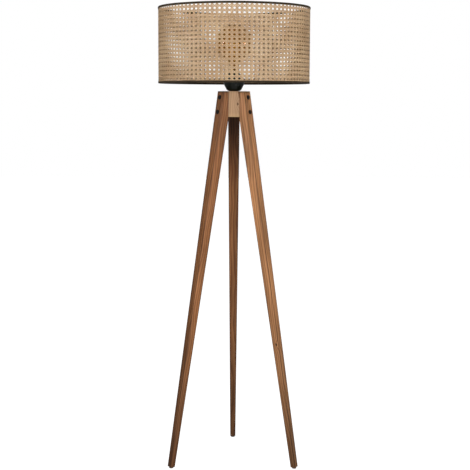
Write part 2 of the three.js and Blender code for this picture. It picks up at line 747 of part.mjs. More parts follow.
function addBulb() {
  const footStar = globeCentre - FILAMENT_LENGTH / 2 - GLOBE_RADIUS * 0.3;
  const filamentLow = footStar + STAR_THICKNESS + GAP;
  const filamentHigh = filamentLow + FILAMENT_LENGTH;
  const crownStar = filamentHigh + GAP;
  const stemFlareTop = capTop + 8;
  const stem = turned([
    [0, capTop],
    [STEM_FLARE_RADIUS, capTop],
    [STEM_FLARE_RADIUS - 1, capTop + 2],
    [STEM_RADIUS, stemFlareTop],
    [STEM_RADIUS, crownStar - GAP],
    [0, crownStar - GAP],
  ], SMALL_SEGMENTS);
  place('bulb_globe', globeGeometry(), amberGlass);
  place('bulb_cap', bulbCapGeometry(), brass);
  place('bulb_insulator', bulbInsulatorGeometry(), blackPlastic);
  const tip = disc(BULB_TIP_RADIUS, bulbTip, bulbTip + BULB_TIP_HEIGHT, SMALL_SEGMENTS);
  place('bulb_tip_contact', tip, zincSteel);
  place('bulb_stem', stem, clearGlass);
  place('filament_foot', starGeometry(footStar, STEM_RADIUS + GAP), zincSteel);
  place('filament_crown', starGeometry(crownStar, 0), zincSteel);
  for (let i = 0; i < FILAMENT_COUNT; i += 1) {
    const angle = (i / FILAMENT_COUNT) * Math.PI * 2;
    const x = FILAMENT_CIRCLE_RADIUS * Math.cos(angle);
    const y = FILAMENT_CIRCLE_RADIUS * Math.sin(angle);
    const filament = bar([x, y, filamentLow], [x, y, filamentHigh], FILAMENT_RADIUS, 8);
    place(`filament_${i + 1}`, filament, filamentYellow);
  }
}

// ---------- the lamp ----------

for (const [side, azimuth] of Object.entries(LEG_AZIMUTHS)) {
  addLeg(side, azimuth);
}
addHead();
addLampholder();
addShade();
addBulb();

export default lamp;
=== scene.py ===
import json
import math

import bmesh
import bpy
from mathutils import Matrix, Vector


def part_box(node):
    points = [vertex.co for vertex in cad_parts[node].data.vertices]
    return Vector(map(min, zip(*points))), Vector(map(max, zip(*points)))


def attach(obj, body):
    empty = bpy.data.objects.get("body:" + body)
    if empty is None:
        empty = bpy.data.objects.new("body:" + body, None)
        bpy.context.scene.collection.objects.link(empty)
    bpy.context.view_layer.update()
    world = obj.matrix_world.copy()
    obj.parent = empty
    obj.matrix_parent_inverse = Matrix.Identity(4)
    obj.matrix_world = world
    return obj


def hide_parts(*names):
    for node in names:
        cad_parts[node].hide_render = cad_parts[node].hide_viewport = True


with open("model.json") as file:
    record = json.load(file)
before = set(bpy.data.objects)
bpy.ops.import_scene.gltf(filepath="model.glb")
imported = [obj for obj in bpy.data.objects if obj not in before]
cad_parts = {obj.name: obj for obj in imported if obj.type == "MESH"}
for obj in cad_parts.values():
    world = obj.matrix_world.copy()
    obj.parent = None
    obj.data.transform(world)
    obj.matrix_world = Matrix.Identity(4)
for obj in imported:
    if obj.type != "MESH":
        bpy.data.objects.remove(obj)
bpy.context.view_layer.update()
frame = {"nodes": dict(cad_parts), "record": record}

MM = 0.001
TURN = 2 * math.pi
ON_AXIS = 1e-6
LEG_AZIMUTH = {"back": 90, "left": 210, "right": 330}
SIDES = tuple(LEG_AZIMUTH)
BOLTS = [(side, f"leg_bolt_{side}_{level}") for side in SIDES for level in ("upper", "lower")]


# ---------- what the frame and the record say ----------

def middle(node):
    low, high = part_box(node)
    return (low + high) / 2


def outer_radius(node):
    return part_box(node)[1].x


SHADE_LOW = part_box("bottom_tape")[0].z
SHADE_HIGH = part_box("top_tape")[1].z
SHADE_RADIUS = outer_radius("bottom_tape")
BLOCK_LOW, BLOCK_TOP = (corner.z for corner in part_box("head_block"))
HUB_BORE = 20.4 * MM      # clears the lampholder's thread
BODY_OF = {}
for body_name, body_nodes in frame["record"]["behaviour"]["bodies"].items():
    for body_node in body_nodes:
        BODY_OF[body_node] = body_name


# ---------- meshes ----------

def linked(name, mesh):
    piece = bpy.data.objects.new(name, mesh)
    bpy.context.scene.collection.objects.link(piece)
    return piece


def smoothed(mesh, sharp):
    mesh.shade_smooth()
    mesh.set_sharp_from_angle(angle=math.radians(sharp))
    return mesh


def mesh_from(bm, name, sharp=32):
    mesh = bpy.data.meshes.new(name)
    bm.to_mesh(mesh)
    bm.free()
    return smoothed(mesh, sharp)


def finished(piece, material, *nodes, alongside=None):
    """Gives a piece its material and the body of the CAD nodes that it stands for, and hides those
    nodes.
    A piece that stands for none goes alongside a node."""
    piece.data.materials.clear()
    piece.data.materials.append(material)
    like = alongside or nodes[0]
    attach(piece, BODY_OF[like])
    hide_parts(*nodes)


def arc(radius_at, height_at, radius, start, end, steps):
    """Points on an arc in the (radius, height) plane, from one angle to another in degrees."""
    points = []
    for i in range(steps + 1):
        angle = math.radians(start + (end - start) * i / steps)
        points.append((radius_at + radius * math.cos(angle), height_at + radius * math.sin(angle)))
    return points


def band(inner, outer, low, high):
    """The outline of a plain ring, or of a rod where the inner radius is zero."""
    return [(inner, low), (outer, low), (outer, high), (inner, high)]


def rounded(outline, radius, steps=3):
    """Rounds the corners of a closed (radius, height) outline; corners on the axis stay."""
    result = []
    for i, corner in enumerate(outline):
        if corner[0] < ON_AXIS:
            result.append(corner)
            continue
        here = Vector(corner)
        before = Vector(outline[i - 1]) - here
        after = Vector(outline[(i + 1) % len(outline)]) - here
        reach = min(radius, before.length * 0.45, after.length * 0.45)
        start = here + before.normalized() * reach
        end = here + after.normalized() * reach
        for k in range(steps + 1):
            t = k / steps
            point = start * (1 - t) ** 2 + here * 2 * t * (1 - t) + end * t ** 2
            result.append((point.x, point.y))
    return result


def bridge(bm, low, high):
    """Faces between two rings of vertices; where a ring is a single point they are triangles."""
    for k in range(len(low)):
        n = (k + 1) % len(low)
        corners = list(dict.fromkeys((low[k], low[n], high[n], high[k])))
        if len(corners) > 2:
            bm.faces.new(corners)


def turned(outline, segments=64, change=None):
    """Turns a closed outline, anticlockwise in (radius, height), round the Z axis.
    change(radius, height, angle) may add a thread or ribs to the radius."""
    bm = bmesh.new()
    rings = []
    for radius, height in outline:
        if radius < ON_AXIS:
            rings.append([bm.verts.new((0, 0, height))] * segments)
            continue
        ring = []
        for k in range(segments):
            angle = TURN * k / segments
            r = radius + (change(radius, height, angle) if change else 0)
            ring.append(bm.verts.new((r * math.cos(angle), r * math.sin(angle), height)))
        rings.append(ring)
    for low, high in zip(rings, rings[1:]):
        bridge(bm, low, high)
    if outline[0][0] >= ON_AXIS:
        bridge(bm, rings[-1], rings[0])
    return bm


def turned_piece(name, outline, material, node, segments=64, change=None, sharp=32, place=(0, 0, 0)):
    bm = turned(outline, segments, change)
    bmesh.ops.translate(bm, verts=bm.verts, vec=place)
    finished(linked(name, mesh_from(bm, name, sharp)), material, node)


def thread(low, high, pitch, depth):
    """A helical ridge for turned(), fading in and out at its two ends."""
    def change(radius, height, angle):
        if not low <= height <= high:
            return 0
        fade = min(1, (height - low) / pitch, (high - height) / pitch)
        return depth * fade * 0.5 * (math.cos(TURN * (height / pitch) - angle) - 1)
    return change


def stepped(radius, low, high, step):
    """An upright wall cut into short steps, so that a thread has vertices to move."""
    count = max(2, round((high - low) / step))
    return [(radius, low + (high - low) * i / count) for i in range(count + 1)]


def plain_mesh(piece):
    """The piece's mesh with its modifiers worked out."""
    graph = bpy.context.evaluated_depsgraph_get()
    graph.update()
    return bpy.data.meshes.new_from_object(piece.evaluated_get(graph), depsgraph=graph)


def tidy_copy(node, bevel, cut_every=None):
    """A CAD node's solid as clean faces with softened edges, cut level for attributes if asked."""
    bm = bmesh.new()
    bm.from_mesh(frame["nodes"][node].data)
    bmesh.ops.remove_doubles(bm, verts=bm.verts, dist=2e-6)
    bmesh.ops.dissolve_limit(bm, angle_limit=math.radians(0.4), verts=bm.verts, edges=bm.edges)
    if cut_every:
        low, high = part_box(node)
        for i in range(1, int((high.z - low.z) / cut_every)):
            bmesh.ops.bisect_plane(bm, geom=bm.verts[:] + bm.edges[:] + bm.faces[:],
                                   plane_co=(0, 0, low.z + i * cut_every), plane_no=(0, 0, 1))
    mesh = bpy.data.meshes.new(node + "_rough")
    bm.to_mesh(mesh)
    bm.free()
    rough = linked(node + "_rough", mesh)
    softened = rough.modifiers.new("edges", "BEVEL")
    softened.width = bevel
    softened.segments = 2
    softened.limit_method = "ANGLE"
    softened.angle_limit = math.radians(30)
    mesh = smoothed(plain_mesh(rough), 40)
    bpy.data.objects.remove(rough)
    return mesh


# ---------- node trees ----------

class Signal:
    """One output of a node. Arithmetic on signals adds math nodes to their tree."""

    def __init__(self, tree, socket):
        self.tree = tree
        self.socket = socket

    def __add__(self, other):
        return calc("ADD", self, other)

    def __sub__(self, other):
        return calc("SUBTRACT", self, other)

    def __rsub__(self, other):
        return calc("SUBTRACT", other, self)

    def __mul__(self, other):
        return calc("MULTIPLY", self, other)

    def __truediv__(self, other):
        return calc("DIVIDE", self, other)


def add_node(tree, kind, inputs, settings):
    """Adds a node. An input is named or numbered and takes a value or a signal."""
    node = tree.nodes.new(kind)
    for key, value in settings.items():
        setattr(node, key, value)
    for key, value in inputs.items():
        if isinstance(value, Signal):
            tree.links.new(value.socket, node.inputs[key])
        else:
            node.inputs[key].default_value = value
    return node


def put(tree, kind, inputs=None, output=0, **settings):
    """Adds a node and returns one of its outputs."""
    return Signal(tree, add_node(tree, kind, inputs or {}, settings).outputs[output])


def tree_of(*values):
    return next(value.tree for value in values if isinstance(value, Signal))


def calc(operation, *values):
    return put(tree_of(*values), "ShaderNodeMath", dict(enumerate(values)), operation=operation)


def vector_calc(operation, *values, output="Vector"):
    inputs = dict(enumerate(values))
    return put(tree_of(*values), "ShaderNodeVectorMath", inputs, output, operation=operation)


def length(vector):
    return vector_calc("LENGTH", vector, output="Value")


def split(vector):
    node = add_node(vector.tree, "ShaderNodeSeparateXYZ", {0: vector}, {})
    return [Signal(vector.tree, socket) for socket in node.outputs]


def joined(x, y, z):
    return put(tree_of(x, y, z), "ShaderNodeCombineXYZ", {0: x, 1: y, 2: z})


def linear(value, low, high, to_low, to_high, kind="LINEAR"):
    """Takes the range from low to high to another range and holds its ends."""
    inputs = {0: value, 1: low, 2: high, 3: to_low, 4: to_high}
    return put(value.tree, "ShaderNodeMapRange", inputs, interpolation_type=kind)


def smooth(value, low, high, to_low=0.0, to_high=1.0):
    """The same with an eased start and end."""
    return linear(value, low, high, to_low, to_high, "SMOOTHSTEP")


def mixed(share, a, b, blend="MIX"):
    inputs = {0: share, 6: a, 7: b}
    return put(tree_of(share, a, b), "ShaderNodeMix", inputs, 2, data_type="RGBA", blend_type=blend)


def shaded(colour, shade):
    """A colour times a plain factor."""
    return mixed(1.0, colour, joined(shade, shade, shade), "MULTIPLY")


def noise(vector, scale, detail=2.0, roughness=0.5, distortion=0.0):
    inputs = {"Vector": vector, "Scale": scale, "Detail": detail, "Roughness": roughness,
              "Distortion": distortion}
    return put(vector.tree, "ShaderNodeTexNoise", inputs)


def group_tree(name, kind, inputs, outputs):
    """A node group whose sockets are listed by type. Also its inputs as signals, and its end."""
    tree = bpy.data.node_groups.new(name, kind)
    for way, sockets in (("INPUT", inputs), ("OUTPUT", outputs)):
        for socket, labels in sockets.items():
            for label in labels:
                tree.interface.new_socket(label, in_out=way, socket_type="NodeSocket" + socket)
    start = tree.nodes.new("NodeGroupInput").outputs
    given = {socket.name: Signal(tree, socket) for socket in start if socket.name}
    return tree, given, tree.nodes.new("NodeGroupOutput").inputs


def feed(sockets, signals):
    """Links signals to the sockets of the same names."""
    for label, signal in signals.items():
        signal.tree.links.new(signal.socket, sockets[label])


def use_group(tree, group, inputs):
    node = add_node(tree, "ShaderNodeGroup", inputs, {"node_tree": group})
    return {socket.name: Signal(tree, socket) for socket in node.outputs}


# ---------- effects that several materials share ----------

def make_breakup_group():
    """Uneven gloss, faint blotches and a fine grain that every moulded or metal skin has."""
    tree, given, out = group_tree(
        "skin_breakup", "ShaderNodeTree",
        {"Vector": ["Vector"], "Color": ["Colour"],
         "Float": ["Scale", "Blotch", "Roughness", "Gloss Spread", "Grain Scale"]},
        {"Color": ["Colour"], "Float": ["Roughness", "Height"]})
    blotch = noise(given["Vector"], given["Scale"], 4, 0.6) - 0.5
    grain = noise(given["Vector"], given["Grain Scale"], 2)
    shade = (blotch * given["Blotch"] + 1.0) * linear(grain, 0.2, 0.8, 0.94, 1.05)
    rough = blotch * given["Gloss Spread"] + given["Roughness"]
    feed(out, {"Colour": shaded(given["Colour"], shade), "Roughness": rough, "Height": grain})
    return tree


def make_fibre_group():
    """Fine lengthwise fibres: a noise stretched along the vector's Z."""
    tree, given, out = group_tree(
        "fibre_streaks", "ShaderNodeTree", {"Vector": ["Vector"], "Float": ["Across", "Along"]},
        {"Float": ["Streak", "Fine"]})
    stretch = joined(given["Across"], given["Across"], given["Along"])
    coarse = vector_calc("MULTIPLY", given["Vector"], stretch)
    fine = vector_calc("MULTIPLY", coarse, (3.1, 3.1, 3.1))
    feed(out, {"Streak": noise(coarse, 1.0, 3, 0.6), "Fine": noise(fine, 1.0, 2)})
    return tree


def make_wood_group(fibres):
    """Sawn softwood in board space (X across, Y through, Z along the length, metres): growth
    rings that swing round a knot, fibres, stain patches and the dark knot itself."""
    tree, given, out = group_tree(
        "sawn_wood", "ShaderNodeTree",
        {"Vector": ["Board", "Knot"], "Color": ["Early", "Late", "Knot Colour"],
         "Float": ["Ring Width", "Knot Size", "Patches"]},
        {"Color": ["Colour"], "Float": ["Height"]})
    board = given["Board"]
    x, y, _ = split(board)
    swing = noise(vector_calc("MULTIPLY", board, (9, 9, 2.6)), 1.0, 2) - 0.5
    wobble = noise(vector_calc("MULTIPLY", board, (60, 60, 9)), 1.0, 2) - 0.5
    rings = swing * 0.05 + wobble * 0.006 + x * 0.55 + y * 0.84
    away = vector_calc("SUBTRACT", board, given["Knot"])
    near = length(vector_calc("MULTIPLY", away, (0.12, 1.0, 0.62))) / given["Knot Size"]
    rings = rings + calc("EXPONENT", near * near * -0.09) * 0.012
    knot = smooth(near, 0.75, 1.25, 1.0, 0.0)
    turn = calc("FRACT", rings / given["Ring Width"])
    late = smooth(turn, 0.15, 0.86) * smooth(turn, 0.9, 1.0, 1.0, 0.0)
    streaks = use_group(tree, fibres, {"Vector": board, "Across": 420.0, "Along": 7.0})
    patch = noise(vector_calc("MULTIPLY", board, (34, 34, 4.5)), 1.0, 3) - 0.5
    colour = mixed(late * 0.55 + streaks["Streak"] * 0.45, given["Early"], given["Late"])
    shade = (patch * given["Patches"] + 1.0) * linear(streaks["Fine"], 0.25, 0.75, 0.88, 1.08)
    colour = mixed(knot * 0.92, shaded(colour, shade), given["Knot Colour"])
    feed(out, {"Colour": colour, "Height": late * 0.35 + streaks["Fine"] * 0.6})
    return tree


FIBRES = make_fibre_group()
BREAKUP = make_breakup_group()
WOOD = make_wood_group(FIBRES)


# ---------- materials ----------

def new_material(name, **constants):
    """A material with a Principled shader whose plain sockets are set from keyword values."""
    material = bpy.data.materials.new(name)
    material.use_nodes = True
    tree = material.node_tree
    tree.nodes.clear()
    shader = tree.nodes.new("ShaderNodeBsdfPrincipled")
    for label, value in constants.items():
        shader.inputs[label.replace("_", " ")].default_value = value
    end = tree.nodes.new("ShaderNodeOutputMaterial")
    tree.links.new(shader.outputs[0], end.inputs[0])
    return material, tree, shader


def object_place(tree):
    return put(tree, "ShaderNodeTexCoord", output="Object")


def attribute(tree, name, output="Fac"):
    return put(tree, "ShaderNodeAttribute", output=output, attribute_name=name)


def dress(shader, colour, roughness, height, relief):
    """Feeds a shader its colour, its roughness and a bump that is so many metres deep."""
    normal = put(colour.tree, "ShaderNodeBump",
                 {"Height": height, "Distance": relief, "Strength": 1.0})
    feed(shader.inputs, {"Base Color": colour, "Roughness": roughness, "Normal": normal})


def skin_material(name, colour, roughness, scale, blotch, spread, grain, **constants):
    """A moulded, plated or painted skin: the shared breakup effect over one colour."""
    material, tree, shader = new_material(name, **constants)
    made = use_group(tree, BREAKUP, {
        "Vector": object_place(tree), "Colour": (*colour, 1), "Scale": scale, "Blotch": blotch,
        "Roughness": roughness, "Gloss Spread": spread, "Grain Scale": grain})
    dress(shader, made["Colour"], made["Roughness"], made["Height"], 0.00002)
    return material


def leg_wood():
    """Walnut-stained pine. Each leg has its own stretch of the same timber and its own strength of
    stain, partly painted light that makes the right leg lighter and the left darker. Each is darker
    along its corners, where the stain has gathered, and towards the foot, partly stain and partly
    painted shade; near the block it carries painted shade at its head, deepest on the back leg."""
    material, tree, shader = new_material("stained_pine", Specular_IOR_Level=0.22)
    shift = attribute(tree, "timber", "Vector")
    made = use_group(tree, WOOD, {
        "Board": vector_calc("ADD", attribute(tree, "board", "Vector"), shift),
        "Knot": vector_calc("ADD", attribute(tree, "knot", "Vector"), shift),
        "Early": (0.50, 0.234, 0.098, 1), "Late": (0.175, 0.064, 0.023, 1),
        "Knot Colour": (0.018, 0.008, 0.004, 1), "Ring Width": 0.0075, "Knot Size": 0.0034,
        "Patches": 1.4})
    across, through, stain_and_painted_light = split(attribute(tree, "section", "Vector"))
    corner = calc("ABSOLUTE", across) * calc("ABSOLUTE", through)
    _, depth, height = split(object_place(tree))
    top_edge = smooth(height, BLOCK_TOP - 8 * MM, BLOCK_TOP - 2 * MM)
    worn = calc("MAXIMUM", smooth(corner, 0.72, 0.99), top_edge)
    # darker towards the foot: partly the stain, partly painted shade
    foot = linear(height, 0.04, 0.62, 0.40, 1.0)
    # painted shade: every leg darker towards its head, under the block and the shade
    painted_shade_at_head = linear(height, BLOCK_LOW - 230 * MM, BLOCK_TOP, 1.0, 0.62)
    # painted shade: the back leg (depth above zero) is darker below the block, taken off its stain
    # strength
    under = smooth(height, BLOCK_LOW - 240 * MM, BLOCK_LOW - 10 * MM, 0.0, 0.74)
    stain_and_painted_light = stain_and_painted_light - under * calc("GREATER_THAN", depth, 0.0)
    shade = foot * painted_shade_at_head * linear(worn, 0.0, 1.0, 1.0, 0.42) * stain_and_painted_light
    warm = linear(stain_and_painted_light, 0.85, 1.3, 0.91, 1.05)
    tint = joined(shade, shade * warm, shade * warm * warm)
    colour = mixed(1.0, made["Colour"], tint, "MULTIPLY")
    dress(shader, colour, linear(made["Height"], 0.0, 1.0, 0.66, 0.48), made["Height"], 0.00025)
    return material


def block_wood():
    """Pale planed pine with the grain upright, one small knot on the open front face, and painted
    shadow of the gap to the right leg along the front face's right edge."""
    material, tree, shader = new_material("planed_pine", Specular_IOR_Level=0.25)
    x, y, z = split(object_place(tree))
    board = vector_calc("ADD", joined(y, x, z), (0.0, 0.03, -1.2))
    made = use_group(tree, WOOD, {
        "Board": board, "Knot": (-0.03, 0.0425, 0.0053), "Early": (0.47, 0.296, 0.170, 1),
        "Late": (0.34, 0.196, 0.102, 1), "Knot Colour": (0.10, 0.045, 0.022, 1),
        "Ring Width": 0.0065, "Knot Size": 0.0030, "Patches": 0.5})
    # painted shadow of the gap to the right leg: dark brown on the front face's right edge, widening
    # downwards
    wander = (noise(board, 260.0, 3) - 0.5) * (5 * MM)
    reach = (BLOCK_TOP - z) * 0.25 + wander + 11.4 * MM
    painted_gap_shadow = smooth(x - reach, 0, 0.8 * MM) * calc("LESS_THAN", y, 0.0)
    colour = mixed(painted_gap_shadow * 0.8, made["Colour"], (0.13, 0.055, 0.024, 1))
    under = smooth(z, BLOCK_LOW, BLOCK_LOW + 16 * MM, 0.35, 0.0)
    colour = mixed(under, colour, (0.55, 0.36, 0.17, 1))
    dress(shader, colour, linear(made["Height"], 0, 1, 0.72, 0.55), made["Height"], 0.0002)
    return material


def cane_material():
    """Split cane: a glossy bark side, pale fibres, strands that differ in tone, and painted shade
    along each strand's edges and sides.
    """
    material, tree, shader = new_material("split_cane", Specular_IOR_Level=0.3)
    place = object_place(tree)
    streaks = use_group(tree, FIBRES, {"Vector": place, "Across": 900.0, "Along": 60.0})
    fleck = smooth(noise(place, 420.0, 2), 0.62, 0.72)
    colour = mixed(attribute(tree, "tone"), (0.49, 0.312, 0.165, 1), (0.35, 0.218, 0.109, 1))
    colour = mixed(smooth(noise(place, 14.0, 3), 0.3, 0.8), colour, (0.53, 0.365, 0.208, 1))
    shade = linear(streaks["Streak"], 0.25, 0.75, 0.80, 1.12)
    # painted shade: each strand darker towards its edges and over its sides
    shade = shade * smooth(attribute(tree, "edge"), 0.74, 1.0, 1.06, 0.45)
    shade = shade * linear(fleck, 0, 1, 1.0, 0.72)
    rough = linear(streaks["Fine"], 0.3, 0.7, 0.42, 0.62)
    dress(shader, shaded(colour, shade), rough, streaks["Streak"], 0.0001)
    return material


def tape_material():
    """Black cotton edging tape with a visible plain weave and a little lint."""
    material, tree, shader = new_material("cotton_tape", Specular_IOR_Level=0.25)
    place = object_place(tree)
    x, y, z = split(place)
    pitch = 0.0009
    along = calc("ARCTAN2", y, x) * SHADE_RADIUS
    across = z + length(joined(x, y, 0.0))
    yarns = [calc("ABSOLUTE", calc("SINE", way / pitch * math.pi)) for way in (along, across)]
    cloth = yarns[0] * yarns[1]
    gap = smooth(cloth, 0.0, 0.35, 1.0, 0.0)
    lint = noise(place, 320.0, 3)
    colour = mixed(gap, (0.042, 0.028, 0.014, 1), (0.013, 0.009, 0.005, 1))
    colour = mixed(smooth(lint, 0.6, 0.75, 0, 0.4), colour, (0.05, 0.04, 0.03, 1))
    dress(shader, colour, linear(lint, 0.3, 0.7, 0.72, 0.9), cloth, 0.00025)
    return material


def felt_material():
    material, tree, shader = new_material("pressed_felt", Sheen_Weight=0.2, Sheen_Roughness=0.6)
    place = object_place(tree)
    matted = noise(place, 900.0, 4, 0.7, 1.5)
    patch = smooth(noise(place, 110.0, 2), 0.45, 0.65, 0, 0.35)
    colour = mixed(matted, (0.02, 0.016, 0.012, 1), (0.11, 0.092, 0.074, 1))
    colour = mixed(patch, colour, (0.16, 0.14, 0.12, 1))
    dress(shader, colour, linear(matted, 0.3, 0.7, 0.95, 0.8), matted, 0.0004)
    return material


def glass_material(name, rim, centre, roughness):
    """Blown glass, tinted deeper and darker where it faces the viewer squarely as painted shade, with
    specks of dust.
    """
    material, tree, shader = new_material(name, Transmission_Weight=1.0, IOR=1.48, Metallic=0.0)
    place = object_place(tree)
    flow = noise(place, 22.0, 2)
    dust = smooth(noise(place, 700.0, 2), 0.7, 0.78)
    facing = put(tree, "ShaderNodeLayerWeight", {"Blend": 0.5}, "Facing")
    # painted shade: the glass is tinted deeper and darker where it faces the viewer squarely
    uneven = (flow - 0.5) * 0.3 + facing
    tint = mixed(smooth(uneven, 0.08, 0.62), (*centre, 1), (*rim, 1))
    dress(shader, tint, linear(dust, 0, 1, roughness, roughness + 0.25), flow, 0.0002)
    return material


def phosphor_material():
    """The filaments' yellow coat, with a faint step at every chip."""
    material, tree, shader = new_material("phosphor_strip", Subsurface_Weight=0.1)
    place = object_place(tree)
    chips = calc("SINE", split(place)[2] * (TURN / 0.0016))
    colour = mixed(smooth(chips, -1, 1), (0.80, 0.46, 0.07, 1), (0.95, 0.66, 0.16, 1))
    rough = linear(noise(place, 900, 2), 0.3, 0.7, 0.5, 0.7)
    dress(shader, colour, rough, chips, 0.00006)
    return material


LEG_WOOD = leg_wood()
BLOCK_WOOD = block_wood()
CANE = cane_material()
TAPE = tape_material()
FELT = felt_material()
# Each skin: its colour, roughness, blotch scale, blotchiness, spread of gloss and grain scale.
BLACK_PLASTIC = skin_material("moulded_black", (0.005, 0.0070, 0.0045), 0.30, 90, 0.5, 0.2, 1500,
                              Specular_IOR_Level=0.34)
BLACK_STEEL = skin_material("blackened_steel", (0.016, 0.012, 0.010), 0.42, 160, 0.6, 0.25, 2600,
                            Metallic=0.6)
ZINC = skin_material("zinc_plating", (0.60, 0.61, 0.63), 0.32, 210, 0.35, 0.25, 2400, Metallic=1.0)
BRASS = skin_material("plain_brass", (0.72, 0.49, 0.19), 0.28, 130, 0.4, 0.25, 2200, Metallic=1.0)
WIRE = skin_material("painted_wire", (0.03, 0.027, 0.026), 0.4, 120, 0.5, 0.2, 2000, Metallic=0.2)
PORCELAIN = skin_material("glazed_porcelain", (0.78, 0.75, 0.69), 0.25, 140, 0.12, 0.12, 900,
                          Coat_Weight=0.4)
AMBER = glass_material("amber_blown_glass", (0.99, 0.89, 0.66), (0.90, 0.66, 0.37), 0.02)
CLEAR = glass_material("clear_stem_glass", (0.96, 0.98, 0.97), (0.92, 0.95, 0.94), 0.03)
PHOSPHOR = phosphor_material()


# ---------- legs and head block ----------

NOWHERE = (0.0, 0.0, -2.0)
# Each leg's knot in board space, how far along the timber it was cut, and how light its stain is,
# partly painted light that makes the right leg lighter and the left darker.
KNOT = {"back": (0.0, 0.0, 1.115), "left": NOWHERE, "right": (0.0, 0.003, 0.415)}
TIMBER = {"back": 0.31, "left": 1.13, "right": 2.27}
STAIN_AND_PAINTED_LIGHT = {"back": 0.98, "left": 0.88, "right": 1.32}
LEG_CUT = 47 * MM
NEAR_END = 2.2 * MM


def leg_directions(side):
    angle = math.radians(LEG_AZIMUTH[side])
    outward = Vector((math.cos(angle), math.sin(angle), 0))
    return outward, Vector((-outward.y, outward.x, 0))


def leg_profile(mesh, outward, across):
    """A leg's half width and its inner and outer radius as functions of height."""
    points = [(v.co.z, v.co.dot(outward), abs(v.co.dot(across))) for v in mesh.vertices]
    top, foot = max(points)[0], min(points)[0]
    inner_top = min(p[1] for p in points)
    knee = min(p[0] for p in points if p[1] < inner_top + 0.5 * MM)

    def end_sizes(end):
        near = [p for p in points if abs(p[0] - end) < NEAR_END]
        return max(p[2] for p in near), min(p[1] for p in near), max(p[1] for p in near)
    half_foot, inner_foot, outer_foot = end_sizes(foot)
    half_top, _, outer_top = end_sizes(top)

    def at(height):
        share = (height - foot) / (top - foot)
        lower = min(1, (height - foot) / (knee - foot))
        return (half_foot + (half_top - half_foot) * share,
                inner_foot + (inner_top - inner_foot) * lower,
                outer_foot + (outer_top - outer_foot) * share)
    return at


def mark(mesh, label, vectors):
    """Stores a vector for every vertex."""
    made = mesh.attributes.new(label, "FLOAT_VECTOR", "POINT")
    for point, vector in zip(made.data, vectors):
        point.vector = vector


def mark_board(mesh, side):
    """Board-space place, place in the cross-section with the stain and painted light, knot and timber.
    """
    outward, across = leg_directions(side)
    profile = leg_profile(mesh, outward, across)
    board, section = [], []
    for vert in mesh.vertices:
        half, inner, outer = profile(vert.co.z)
        x, y = vert.co.dot(across), vert.co.dot(outward) - (inner + outer) / 2
        board.append((x, y, vert.co.z))
        section.append((x / half, y / ((outer - inner) / 2), STAIN_AND_PAINTED_LIGHT[side]))
    mark(mesh, "board", board)
    mark(mesh, "section", section)
    mark(mesh, "knot", [KNOT[side]] * len(board))
    mark(mesh, "timber", [(TIMBER[side], TIMBER[side] * 0.7, TIMBER[side])] * len(board))


def add_legs():
    for side in SIDES:
        node = "leg_" + side
        mesh = tidy_copy(node, 1.0 * MM, LEG_CUT)
        mark_board(mesh, side)
        finished(linked("wood_" + node, mesh), LEG_WOOD, node)


def add_block():
    mesh = tidy_copy("head_block", 0.8 * MM)
    finished(linked("wood_head_block", mesh), BLOCK_WOOD, "head_block")


# ---------- bolts, set out by a node tree ----------

BOLT_HEAD_HEIGHT = 8 * MM
BOLT_SOCKET = 3.3 * MM
BOLT_RADIUS = 4 * MM


def six_sided(angle):
    """A hexagon's radius at an angle, as a share of the radius of its corners."""
    third = math.pi / 3
    return math.cos(third / 2) / math.cos(angle % third - third / 2)


def bolt_template():
    """A socket cap screw head on its shank, pointing along +Z with the seat at zero."""
    low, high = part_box("leg_bolt_back_upper")
    head_radius = (high.z - low.z) / 2
    tall = BOLT_HEAD_HEIGHT
    floor = tall - 4 * MM
    shank_end = -20 * MM
    outline = [(0, shank_end), (BOLT_RADIUS, shank_end), (BOLT_RADIUS, 0), (head_radius, 0),
               (head_radius, tall), (BOLT_SOCKET, tall), (BOLT_SOCKET, floor), (0, floor)]

    def hexagon_and_knurl(radius, height, angle):
        if radius < BOLT_SOCKET * 1.25 and height > 0.5 * MM:
            return radius * (six_sided(angle) - 1) * 0.9
        if radius > head_radius * 0.98 and 0.8 * MM < height < tall - 1.2 * MM:
            return -0.12 * MM * (0.5 + 0.5 * math.cos(angle * 30))
        return 0
    bm = turned(rounded(outline, 0.6 * MM), 120, hexagon_and_knurl)
    return linked("bolt_template", mesh_from(bm, "bolt", 30))


def end_tree(out, label, placed, finish):
    """The end of every tree here: instances made real and given their material."""
    solid = put(placed.tree, "GeometryNodeRealizeInstances", {0: placed})
    feed(out, {label: put(placed.tree, "GeometryNodeSetMaterial", {0: solid, 2: finish})})


def setting_out_tree():
    """Puts a copy of one object at every point, turned along the point's own direction."""
    tree, given, out = group_tree(
        "set_out_fasteners", "GeometryNodeTree",
        {"Geometry": ["Places"], "Object": ["Fastener"], "Material": ["Finish"]},
        {"Geometry": ["Fasteners"]})
    shape = put(tree, "GeometryNodeObjectInfo", {0: given["Fastener"]}, "Geometry")
    facing = put(tree, "GeometryNodeInputNamedAttribute", {0: "facing"}, data_type="FLOAT_VECTOR")
    turn = put(tree, "FunctionNodeAlignRotationToVector", {"Vector": facing}, axis="Z")
    placed = put(tree, "GeometryNodeInstanceOnPoints",
                 {"Points": given["Places"], "Instance": shape, "Rotation": turn})
    end_tree(out, "Fasteners", placed, given["Finish"])
    return tree


def run_tree(name, tree, values, start_mesh=None):
    """Runs a Geometry Nodes tree on an object and keeps its result as a plain mesh."""
    host = linked(name, start_mesh or bpy.data.meshes.new(name))
    modifier = host.modifiers.new("made", "NODES")
    modifier.node_group = tree
    for item in tree.interface.items_tree:
        if item.item_type == "SOCKET" and item.in_out == "INPUT" and item.name in values:
            modifier[item.identifier] = values[item.name]
    mesh = plain_mesh(host)
    mesh.name = name
    host.modifiers.clear()
    host.data = mesh
    return host


